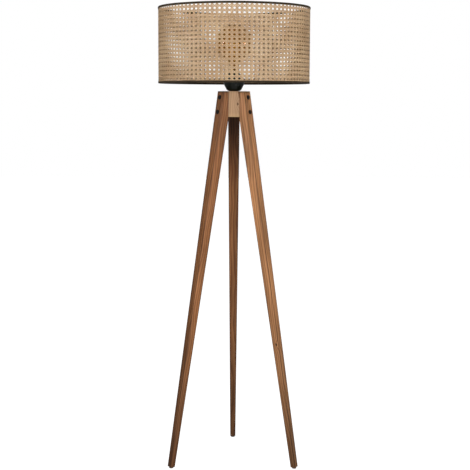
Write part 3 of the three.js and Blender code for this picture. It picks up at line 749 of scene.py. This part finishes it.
def add_bolts():
    template = bolt_template()
    mesh = bpy.data.meshes.new("bolt_places")
    seats = []
    for side, node in BOLTS:
        outward = leg_directions(side)[0]
        far = max(v.co.dot(outward) for v in frame["nodes"][node].data.vertices)
        seats.append(outward * (far - BOLT_HEAD_HEIGHT) + Vector((0, 0, middle(node).z)))
    mesh.from_pydata(seats, [], [])
    mark(mesh, "facing", [leg_directions(side)[0] for side, _ in BOLTS])
    values = {"Fastener": template, "Finish": BLACK_STEEL}
    bolts = run_tree("leg_bolts", setting_out_tree(), values, mesh)
    bpy.data.objects.remove(template)
    finished(bolts, BLACK_STEEL, *(node for _, node in BOLTS))


# ---------- feet and the hardware under the block ----------

NIPPLE_HOLE = 5.3 * MM


def add_glides():
    radius, height, pin = 7 * MM, 4 * MM, 1.5 * MM
    for side in SIDES:
        node = "foot_glide_" + side
        centre, top = middle(node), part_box(node)[1].z
        outline = [(0, 0), (radius, 0), (radius, height), (pin, height), (pin, top), (0, top)]
        turned_piece("felt_" + node, rounded(outline, 0.7 * MM), FELT, node, 40,
                     place=(centre.x, centre.y, 0))


def add_nut():
    low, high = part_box("nipple_nut")
    outline = band(NIPPLE_HOLE, (high.x - low.x) / 2, low.z, high.z)

    def hexagon(radius, height, angle):
        return min(0, radius * (six_sided(angle) - 1)) if radius > NIPPLE_HOLE * 1.5 else 0
    turned_piece("hexagon_nut", rounded(outline, 0.5 * MM), ZINC, "nipple_nut", 96, hexagon)


def add_nipple():
    low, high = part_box("threaded_nipple")
    radius, bore, groove, plain = high.x, 3.9 * MM, 0.5 * MM, 0.8 * MM
    wall = stepped(radius, low.z + plain, high.z - plain, 0.34 * MM)
    outline = [(bore, low.z), (radius - groove, low.z), *wall, (radius - groove, high.z),
               (bore, high.z)]
    change = thread(low.z + plain, high.z - plain, 1.0 * MM, groove)
    turned_piece("nipple", outline, ZINC, "threaded_nipple", 32, change, 60)


def add_washer_and_bush():
    low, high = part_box("block_washer")
    outline = band(NIPPLE_HOLE, high.x, low.z, high.z)
    turned_piece("washer", rounded(outline, 0.3 * MM), ZINC, "block_washer", 72)
    low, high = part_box("cord_bush")
    bore, neck, lip = 3.4 * MM, 7.1 * MM, low.z + 2.4 * MM
    outline = [(bore, low.z), (high.x, low.z), (high.x, lip), (neck, lip), (neck, high.z),
               (NIPPLE_HOLE, high.z), (NIPPLE_HOLE, lip), (bore, lip)]
    turned_piece("entry_bush", rounded(outline, 0.6 * MM), BLACK_PLASTIC, "cord_bush", 72)


# ---------- lampholder ----------

def fine_bead(share, at):
    """A low ridge round the bowl where the share of its slant is near the given one."""
    return 0.35 * MM * max(0, math.cos((share - at) * 40) if abs(share - at) < 0.04 else 0)


def add_bowl():
    """The moulded bowl: a tight lower corner, a slanting wall with two fine beads, a rolled lip."""
    low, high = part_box("holder_bowl")
    base, corner, wall, rim = 13.5 * MM, 14 * MM, 2.4 * MM, high.x
    lower = arc(base, low.z + corner, corner, -90, -28, 14)
    start = Vector(lower[-1])
    end = Vector((rim - 0.8 * MM, high.z - 2.5 * MM))
    slant = []
    for i in range(1, 25):
        t = i / 24
        swell = 0.25 * MM * math.sin(math.pi * t)
        point = start.lerp(end, t)
        slant.append((point.x + fine_bead(t, 0.62) + fine_bead(t, 0.78) + swell, point.y))
    lip = [(rim, high.z - 1.2 * MM), (rim - 0.2 * MM, high.z - 0.3 * MM), (rim - 0.9 * MM, high.z)]
    inside = [(rim - wall, high.z), (rim - wall - 0.6 * MM, high.z - 2 * MM),
              (start.x - wall * 0.8, start.y + 0.6 * MM),
              *reversed(arc(base, low.z + corner, corner - wall, -85, -40, 6))]
    outline = [(NIPPLE_HOLE, low.z), *lower, *slant, *lip, *inside, (NIPPLE_HOLE, low.z + wall)]
    turned_piece("bowl", outline, BLACK_PLASTIC, "holder_bowl", 96)


HOLDER_WALL = 2.2 * MM
HOLDER_PITCH = 2.5 * MM
BULB_PITCH = 3.62 * MM
FINE_STEP = 0.45 * MM


def add_holder_cap():
    low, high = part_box("holder_base")
    radius, wall = high.x, HOLDER_WALL
    foot, step = radius - 6 * MM, low.z + 9 * MM
    outline = [(NIPPLE_HOLE, low.z), (foot, low.z), (radius, step), (radius, high.z),
               (radius - wall, high.z), (radius - wall, step), (foot - wall, low.z + wall),
               (NIPPLE_HOLE, low.z + wall)]
    turned_piece("holder_cap", rounded(outline, 1.2 * MM, 4), BLACK_PLASTIC, "holder_base", 72)


def add_sleeve():
    """The sleeve: a skirt, a shoulder that the shade's hub rests on, and the collar's thread."""
    low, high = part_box("holder_sleeve")
    skirt, crest = high.x, outer_radius("holder_base")
    bore, throat = crest - HOLDER_WALL, outer_radius("screw_shell") + 0.3 * MM
    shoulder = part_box("spider_hub_ring")[0].z - 0.3 * MM
    first, last = shoulder + 1 * MM, high.z - 1 * MM
    outline = [(bore, low.z), (skirt - 1 * MM, low.z), (skirt, low.z + 1 * MM),
               (skirt, shoulder - 0.6 * MM), (skirt - 0.6 * MM, shoulder), (crest, shoulder),
               *stepped(crest, first, last, 0.5 * MM), (crest - 1 * MM, high.z), (throat, high.z),
               (throat, high.z - 2 * MM), (bore, high.z - 2 * MM)]
    change = thread(first, last, HOLDER_PITCH, 1.1 * MM)
    turned_piece("sleeve", outline, BLACK_PLASTIC, "holder_sleeve", 72, change, 50)


def add_screw_shell():
    low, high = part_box("screw_shell")
    outline = stepped(high.x, low.z, high.z, FINE_STEP)
    outline += reversed(stepped(high.x - 0.7 * MM, low.z, high.z, FINE_STEP))
    change = thread(low.z + 3 * MM, high.z, BULB_PITCH, 0.55 * MM)
    turned_piece("threaded_shell", outline, BRASS, "screw_shell", 48, change, 60)


def ribs_tree():
    """Upright ribs with rounded backs round a ring."""
    tree, given, out = group_tree(
        "ribs_round_a_ring", "GeometryNodeTree",
        {"Int": ["Count"], "Float": ["Radius", "Low", "High", "Rib Radius"], "Material": ["Finish"]},
        {"Geometry": ["Ribs"]})
    rib = put(tree, "GeometryNodeMeshCylinder",
              {"Vertices": 8, "Radius": given["Rib Radius"], "Depth": given["High"] - given["Low"]})
    level = joined(0.0, 0.0, (given["High"] + given["Low"]) * 0.5)
    ring = put(tree, "GeometryNodeMeshCircle", {"Vertices": given["Count"], "Radius": given["Radius"]})
    raised = put(tree, "GeometryNodeTransform", {"Geometry": ring, "Translation": level})
    placed = put(tree, "GeometryNodeInstanceOnPoints", {"Points": raised, "Instance": rib})
    end_tree(out, "Ribs", placed, given["Finish"])
    return tree


def add_collar():
    low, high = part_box("shade_collar")
    flange, core = high.x, high.x - 0.8 * MM
    outline = [(HUB_BORE, low.z), (flange, low.z), (flange, low.z + 2 * MM),
               (core, low.z + 2.6 * MM), (core, high.z - 2.6 * MM),
               (flange - 0.3 * MM, high.z - 2 * MM), (flange - 1 * MM, high.z), (HUB_BORE, high.z)]
    turned_piece("collar_ring", rounded(outline, 0.5 * MM), BLACK_PLASTIC, "shade_collar", 120)
    values = {"Count": 40, "Radius": core - 0.2 * MM, "Low": low.z + 2.4 * MM,
              "High": high.z - 2.3 * MM, "Rib Radius": 0.95 * MM, "Finish": BLACK_PLASTIC}
    ribs = run_tree("collar_ribs", ribs_tree(), values)
    finished(ribs, BLACK_PLASTIC, alongside="shade_collar")


def dress_inner_parts():
    """CAD nodes whose own shape is right take a better material."""
    finishes = {"holder_insulator": PORCELAIN, "centre_contact": BRASS,
                "terminal_screw_left": ZINC, "terminal_screw_right": ZINC}
    for _, node in BOLTS:
        finishes[node.replace("leg_bolt", "block_insert")] = BRASS
    for node, material in finishes.items():
        mesh = frame["nodes"][node].data
        mesh.materials.clear()
        mesh.materials.append(material)


# ---------- bulb ----------

def bezier(points, steps):
    """Points on a cubic curve from its first control point, without its last."""
    curve = []
    for i in range(steps):
        t = i / steps
        weights = ((1 - t) ** 3, 3 * t * (1 - t) ** 2, 3 * t * t * (1 - t), t ** 3)
        point = sum((p * w for p, w in zip(points, weights)), Vector((0, 0)))
        curve.append((point.x, point.y))
    return curve


def add_globe():
    """A blown globe that flows into its neck, with the same thin wall all over."""
    low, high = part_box("bulb_globe")
    radius, wall, neck, reach = 62.5 * MM, 0.9 * MM, 12.1 * MM, 12 * MM
    sphere = arc(0, high.z - radius, radius, -60, 90, 44)
    join = Vector(sphere[0])
    first = Vector((neck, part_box("bulb_cap")[1].z + 6 * MM))
    flow = bezier([first, first + Vector((0, reach)),
                   join - Vector((reach, reach * math.tan(math.pi / 6))), join], 14)
    outside = [(neck, low.z), *flow, *sphere[:-1]]
    inside = []
    for i, point in enumerate(outside):
        before = Vector(outside[max(i - 1, 0)])
        after = Vector(outside[min(i + 1, len(outside) - 1)])
        run = (after - before).normalized()
        inside.append((max(point[0] - run.y * wall, 0.2 * MM), point[1] + run.x * wall))
    outline = [(0, high.z - wall), *reversed(inside), *outside, (0, high.z)]
    turned_piece("glass_globe", outline, AMBER, "bulb_globe", 72, None, 80)


def add_bulb_cap():
    low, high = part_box("bulb_cap")
    radius, hole, sheet = high.x, 6 * MM, 0.8 * MM
    start = low.z + 3.4 * MM
    outline = [(hole, low.z), (radius - 2.2 * MM, low.z), (radius - 0.6 * MM, low.z + 2 * MM),
               *stepped(radius, start, high.z, FINE_STEP),
               *reversed(stepped(radius - sheet, start, high.z, FINE_STEP)),
               (radius - 2.8 * MM, low.z + sheet), (hole, low.z + sheet)]
    change = thread(low.z + 4 * MM, high.z - 3 * MM, BULB_PITCH, 0.9 * MM)
    turned_piece("screw_cap", outline, BRASS, "bulb_cap", 48, change, 60)
    low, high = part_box("bulb_insulator")
    outline = [(0, low.z), (4.5 * MM, low.z), (high.x, high.z), (0, high.z)]
    turned_piece("cap_glass", rounded(outline, 0.3 * MM), BLACK_PLASTIC, "bulb_insulator", 48)
    low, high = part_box("bulb_tip_contact")
    dome = [(0, low.z), (2.6 * MM, low.z), (4 * MM, low.z + 0.5 * MM), (high.x, high.z), (0, high.z)]
    turned_piece("solder_tip", dome, ZINC, "bulb_tip_contact", 40)


def wire_between(points, radius, sides=8):
    """A round wire through a few points, closed at both ends."""
    bm = bmesh.new()
    rings = []
    for i, point in enumerate(points):
        before = points[max(i - 1, 0)]
        after = points[min(i + 1, len(points) - 1)]
        turn = (after - before).to_track_quat("Z", "Y").to_matrix()
        ring = []
        for k in range(sides):
            angle = TURN * k / sides
            spoke = Vector((radius * math.cos(angle), radius * math.sin(angle), 0))
            ring.append(bm.verts.new(point + turn @ spoke))
        rings.append(ring)
    for low, high in zip(rings, rings[1:]):
        bridge(bm, low, high)
    bm.faces.new(list(reversed(rings[0])))
    bm.faces.new(rings[-1])
    return bm


def merge_into(target, source):
    mesh = bpy.data.meshes.new("part")
    source.to_mesh(mesh)
    source.free()
    target.from_mesh(mesh)
    bpy.data.meshes.remove(mesh)


FILAMENTS = [f"filament_{i}" for i in (1, 2, 3, 4)]


def add_star(node, name):
    """A hub on the stem with a wire out to each filament."""
    bm = bmesh.new()
    hub = Vector((0, 0, middle(node).z))
    for filament in FILAMENTS:
        end = middle(filament)
        reach = Vector((end.x, end.y, 0))
        inner, outer = hub + reach.normalized() * 2.8 * MM, hub + reach
        merge_into(bm, wire_between([inner, inner.lerp(outer, 0.5), outer], 0.45 * MM))
    merge_into(bm, turned(band(2.5 * MM, 3.3 * MM, hub.z - 0.5 * MM, hub.z + 0.5 * MM), 32))
    finished(linked(name, mesh_from(bm, name)), ZINC, node)


def add_filaments():
    low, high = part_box("bulb_stem")
    outline = [(0, low.z), (8 * MM, low.z), (7 * MM, low.z + 2 * MM), (3.4 * MM, low.z + 8 * MM),
               (2.4 * MM, low.z + 13 * MM), (2.4 * MM, high.z - 4 * MM), (1.8 * MM, high.z - 1 * MM),
               (0, high.z)]
    turned_piece("glass_stem", rounded(outline, 1.5 * MM, 4), CLEAR, "bulb_stem", 32, None, 70)
    add_star("filament_foot", "lower_star")
    add_star("filament_crown", "upper_star")
    for node in FILAMENTS:
        low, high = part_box(node)
        centre = middle(node)
        outline = rounded(band(0, 1.25 * MM, low.z, high.z), 0.9 * MM, 5)
        turned_piece("led_" + node, outline, PHOSPHOR, node, 20, place=(centre.x, centre.y, 0))


# ---------- shade: wire frame ----------

def add_spider_arm(side):
    """An arm that runs out level from the hub, falls to the bottom ring and runs out level again."""
    node = "spider_arm_" + side
    low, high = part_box(node)
    radius, level_run, steps = 2 * MM, 18 * MM, 28
    start = outer_radius("spider_hub_ring") - 1.5 * MM
    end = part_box("spider_arm_back")[1].y - 0.1 * MM
    top, bottom = high.z - radius, low.z + radius
    outward = leg_directions(side)[0]
    points = []
    for i in range(steps + 1):
        reach = start + (end - start) * i / steps
        fall = max(0, min(1, (reach - start - level_run) / (end - start - 2 * level_run)))
        eased = fall * fall * (3 - 2 * fall)
        points.append(outward * reach + Vector((0, 0, top + (bottom - top) * eased)))
    bm = wire_between(points, radius * 0.98, 14)
    finished(linked("wire_" + node, mesh_from(bm, node)), WIRE, node)


def add_spider():
    low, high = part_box("spider_hub_ring")
    outline = rounded(band(HUB_BORE, high.x, low.z, high.z), 0.6 * MM)
    turned_piece("hub_ring", outline, WIRE, "spider_hub_ring", 96)
    for side in SIDES:
        add_spider_arm(side)
    for node in ("bottom_wire_ring", "top_wire_ring"):
        low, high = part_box(node)
        radius = (high.z - low.z) / 2
        circle = arc(high.x - radius, middle(node).z, radius * 0.97, 0, 330, 11)
        turned_piece("round_" + node, circle, WIRE, node, 144, None, 80)


def add_tapes():
    """Tape folded over each rim, a little uneven where it is glued, with turned-in edges."""
    depth, thick, corner, soft = 6.3 * MM, 0.6 * MM, 1.2 * MM, 0.8 * MM
    for node, inwards in (("bottom_tape", 1), ("top_tape", -1)):
        low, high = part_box(node)
        outer, inner, rim = high.x, high.x - depth, low.z if inwards > 0 else high.z
        edge = rim + inwards * (high.z - low.z)
        fold = rim + inwards * thick
        outline = [(inner, edge), (inner, rim + inwards * corner), (inner + corner, rim),
                   (outer - corner, rim), (outer, rim + inwards * corner), (outer, edge),
                   (outer - thick, edge), (outer - thick, fold + inwards * soft),
                   (outer - 1.5 * MM, fold), (inner + 1.5 * MM, fold),
                   (inner + thick, fold + inwards * soft), (inner + thick, edge)]
        if inwards < 0:
            outline.reverse()

        def ripple(radius, height, angle, outer=outer, edge=edge):
            if abs(height - edge) > 0.1 * MM or radius < outer - 0.1 * MM:
                return 0
            return -0.09 * MM * (1 + math.sin(angle * 37) * math.sin(angle * 11))
        turned_piece("folded_" + node, rounded(outline, 0.4 * MM, 2), TAPE, node, 240, ripple, 50)


# ---------- shade: woven cane ----------

COLUMNS = 101
ROW_PITCH = (SHADE_HIGH - SHADE_LOW) / 18.5
HOOP_ROWS = 19
FIRST_HOOP = SHADE_LOW + 5.4 * MM
CANE_LOW, CANE_HIGH = (corner.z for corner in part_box("cane_drum"))
CANE_MIDDLE = outer_radius("cane_drum") - 0.6 * MM
COLUMN_ANGLE = TURN / COLUMNS
UPRIGHT_SPREAD = 2.28 * MM
HOOP_SPREAD = 2.06 * MM
UPRIGHT_WIDTH = 3.2 * MM
HOOP_WIDTH = 2.9 * MM
DIAGONAL_WIDTH = 3.1 * MM
STRAND_THICKNESS = 0.40 * MM
STRAND_CROWN = 0.10 * MM      # how much the bark side of a strand is domed
PAIR_WAVE = 0.17 * MM
DIAGONAL_WAVE = 0.29 * MM
FRONT_COLUMN_SHIFT = 1.0 * MM # the front hole sits this far to the right of the middle
STEPS_PER_CELL = 4
STRAND_SIZES = ["Radius", "Width", "Thickness", "Crown", "Wave", "Wave Start"]


def strand_tree(name, own_sizes):
    """A tree whose inputs are those that all strands have and some sizes of its own."""
    return group_tree(
        name, "GeometryNodeTree",
        {"Int": ["Count", "Steps", "Seed"], "Float": STRAND_SIZES + own_sizes,
         "Material": ["Finish"]},
        {"Geometry": ["Strands"]})


def strand_body(tree, given):
    """A closed bar, domed on its bark side, with enough cross-sections to follow its waves and
    marked with how near the edge it is, for the painted shade along its edges; also its places across,
    through (metres) and along."""
    bar = put(tree, "GeometryNodeMeshCube",
              {"Size": (1, 1, 1), "Vertices X": 3, "Vertices Y": 2, "Vertices Z": given["Steps"]})
    across, through, along = split(put(tree, "GeometryNodeInputPosition"))
    from_middle = calc("ABSOLUTE", across) * 2.0
    domed = (1.0 - from_middle) * given["Crown"] * calc("GREATER_THAN", through, 0.0)
    marked = put(tree, "GeometryNodeStoreNamedAttribute",
                 {"Geometry": bar, "Name": "edge", "Value": from_middle},
                 data_type="FLOAT", domain="POINT")
    return marked, across, through * given["Thickness"] + domed, along + 0.5


def on_drum(tree, given, strand, angle, height, swing, through):
    """Lays a bar on the drum's wall, waving in and out."""
    radius = given["Radius"] + calc("SINE", swing) * given["Wave"] + through
    place = joined(radius * calc("COSINE", angle), radius * calc("SINE", angle), height)
    return put(tree, "GeometryNodeSetPosition", {"Geometry": strand, "Position": place})


def repeat_and_dress(tree, given, out, strand, rotation, offset):
    """Repeats one strand, gives each copy its own tone, and ends in a plain dressed mesh."""
    line = put(tree, "GeometryNodeMeshLine", {"Count": given["Count"], "Offset": offset})
    placed = put(tree, "GeometryNodeInstanceOnPoints",
                 {"Points": line, "Instance": strand, "Rotation": rotation})
    tone = put(tree, "FunctionNodeRandomValue", {"Seed": given["Seed"]}, 1, data_type="FLOAT")
    toned = put(tree, "GeometryNodeStoreNamedAttribute",
                {"Geometry": placed, "Name": "tone", "Value": tone},
                data_type="FLOAT", domain="INSTANCE")
    end_tree(out, "Strands", toned, given["Finish"])


def rising_tree():
    """Strands that run from rim to rim, upright or slanting, and weave past every hoop."""
    own_sizes = ["Low", "High", "First Angle", "Twist", "Wave Pitch"]
    tree, given, out = strand_tree("rising_strands", own_sizes)
    bar, across, through, along = strand_body(tree, given)
    height = along * (given["High"] - given["Low"]) + given["Low"]
    swing = (height - given["Wave Start"]) / given["Wave Pitch"] * TURN
    aside = across * given["Width"] / given["Radius"]
    angle = along * given["Twist"] + given["First Angle"] - aside
    strand = on_drum(tree, given, bar, angle, height, swing, through)
    turn = put(tree, "GeometryNodeInputIndex") * TURN / given["Count"]
    repeat_and_dress(tree, given, out, strand, joined(0.0, 0.0, turn), (0, 0, 0))
    return tree


def hoop_tree():
    """Strands that run round the drum and meet at the seam."""
    own_sizes = ["First Height", "Pitch", "Seam Angle", "Seam Gap", "Waves"]
    tree, given, out = strand_tree("hoop_strands", own_sizes)
    bar, across, through, along = strand_body(tree, given)
    angle = along * (TURN - given["Seam Gap"]) + given["Seam Angle"]
    swing = (angle - given["Wave Start"]) * given["Waves"]
    height = across * given["Width"] + given["First Height"]
    strand = on_drum(tree, given, bar, angle, height, swing, through)
    repeat_and_dress(tree, given, out, strand, (0, 0, 0), joined(0.0, 0.0, given["Pitch"]))
    return tree


def add_strands(name, tree, layers):
    """Makes one piece of the drum from a few layers of strands."""
    bm = bmesh.new()
    for values in layers:
        layer = run_tree("layer", tree, {**values, "Radius": CANE_MIDDLE, "Finish": CANE,
                                         "Thickness": STRAND_THICKNESS, "Crown": STRAND_CROWN})
        bm.from_mesh(layer.data)
        bpy.data.objects.remove(layer)
    finished(linked(name, mesh_from(bm, name, 40)), CANE, "cane_drum")


def add_cane():
    """The webbing: pairs of uprights and of hoops that weave through each other, and one diagonal
    each way past every hole, so that the holes have eight sides. A hole faces the front."""
    rising, hoops = rising_tree(), hoop_tree()
    front = -math.pi / 2 + FRONT_COLUMN_SHIFT / CANE_MIDDLE
    between = front + COLUMN_ANGLE / 2
    cells = (CANE_HIGH - CANE_LOW) / ROW_PITCH
    cells_to_hoop = (FIRST_HOOP - CANE_LOW) / ROW_PITCH
    slant = math.cos(math.atan2(COLUMN_ANGLE * CANE_MIDDLE, ROW_PITCH))
    rim_to_rim = {"Count": COLUMNS, "Steps": round(cells * STEPS_PER_CELL) + 1, "Low": CANE_LOW,
                  "High": CANE_HIGH, "Wave Pitch": ROW_PITCH}
    round_drum = {"Steps": COLUMNS * STEPS_PER_CELL + 1, "Pitch": ROW_PITCH, "Width": HOOP_WIDTH,
                  "Seam Angle": math.pi / 2, "Seam Gap": 0.4 * MM / CANE_MIDDLE,
                  "Waves": float(COLUMNS), "Wave Start": between}
    add_strands("cane_uprights", rising, [
        {**rim_to_rim, "Width": UPRIGHT_WIDTH, "Twist": 0.0, "Wave": sign * PAIR_WAVE,
         "Seed": 3 + sign, "First Angle": between + sign * UPRIGHT_SPREAD / CANE_MIDDLE,
         "Wave Start": FIRST_HOOP} for sign in (-1, 1)])
    add_strands("cane_diagonals", rising, [
        {**rim_to_rim, "Width": DIAGONAL_WIDTH / slant, "Twist": sign * cells * COLUMN_ANGLE,
         "Seed": 7 + sign, "First Angle": front - sign * cells_to_hoop * COLUMN_ANGLE,
         "Wave": sign * DIAGONAL_WAVE, "Wave Start": FIRST_HOOP - ROW_PITCH / 4}
        for sign in (-1, 1)])
    add_strands("cane_hoops", hoops, [
        {**round_drum, "Count": count, "First Height": FIRST_HOOP + sign * HOOP_SPREAD,
         "Wave": -sign * PAIR_WAVE, "Seed": 11 + sign}
        for sign, count in ((-1, HOOP_ROWS), (1, HOOP_ROWS - 1))])


# ---------- studio ----------

AMBIENT = 0.17           # how strongly the white surroundings light the lamp


def seen_or_lighting(tree, lighting):
    """Full strength where the camera sees a surface, and another as it lights the lamp."""
    return linear(put(tree, "ShaderNodeLightPath", output="Is Camera Ray"), 0, 1, lighting, 1.0)


def add_floor():
    bm = bmesh.new()
    bmesh.ops.create_grid(bm, x_segments=2, y_segments=2, size=14.0)
    floor = linked("studio_floor", mesh_from(bm, "studio_floor"))
    grey, white = (0.5, 0.5, 0.5, 1), (1, 1, 1, 1)
    material, tree, shader = new_material("studio_white", Roughness=0.9, Specular_IOR_Level=0.1,
                                          Base_Color=grey, Emission_Color=white)
    feed(shader.inputs, {"Emission Strength": seen_or_lighting(tree, AMBIENT * 0.6)})
    floor.data.materials.append(material)


def add_light(name, place, aim, size, power, spread=180):
    light = bpy.data.lights.new(name, "AREA")
    light.shape = "DISK"
    light.size = size
    light.energy = power
    light.spread = math.radians(spread)
    lamp = linked(name, light)
    lamp.location = place
    lamp.rotation_euler = (Vector(aim) - Vector(place)).to_track_quat("-Z", "Y").to_euler()


def add_world():
    world = bpy.data.worlds.new("studio")
    world.use_nodes = True
    background = world.node_tree.nodes["Background"].inputs
    feed(background, {"Strength": seen_or_lighting(world.node_tree, AMBIENT)})
    background["Color"].default_value = (1, 1, 1, 1)
    bpy.context.scene.world = world
    bpy.context.scene.view_settings.view_transform = "Standard"


def add_camera():
    """A little under the shade, under four metres in front, aimed slightly down."""
    data = bpy.data.cameras.new("camera")
    data.sensor_width = 36.0
    data.lens = 85.96
    camera = linked("camera", data)
    pitch, yaw, roll = math.radians(-6.83), math.radians(-0.078), math.radians(0.2)
    turn = Matrix.Rotation(yaw, 4, "Z") @ Matrix.Rotation(math.pi / 2 + pitch, 4, "X")
    turn = turn @ Matrix.Rotation(roll, 4, "Z")
    camera.matrix_world = Matrix.Translation((0, -3.7416, 1.2165)) @ turn
    bpy.context.scene.camera = camera


add_camera()
add_world()
add_floor()
add_light("key", (1.9, -3.6, 1.45), (0, 0, 0.95), 1.1, 92)
add_light("fill", (-1.7, -3.8, 1.6), (0, 0, 0.9), 1.6, 50)
add_light("shade_left", (-2.6, -0.9, 1.5), (0, 0, 1.42), 0.6, 0.85, 24)
add_light("shade_right", (2.6, -0.9, 1.5), (0, 0, 1.42), 0.6, 0.42, 24)
add_legs()
add_block()
add_bolts()
add_glides()
add_nut()
add_nipple()
add_washer_and_bush()
add_bowl()
add_holder_cap()
add_sleeve()
add_screw_shell()
add_collar()
dress_inner_parts()
add_globe()
add_bulb_cap()
add_filaments()
add_spider()
add_tapes()
add_cane()
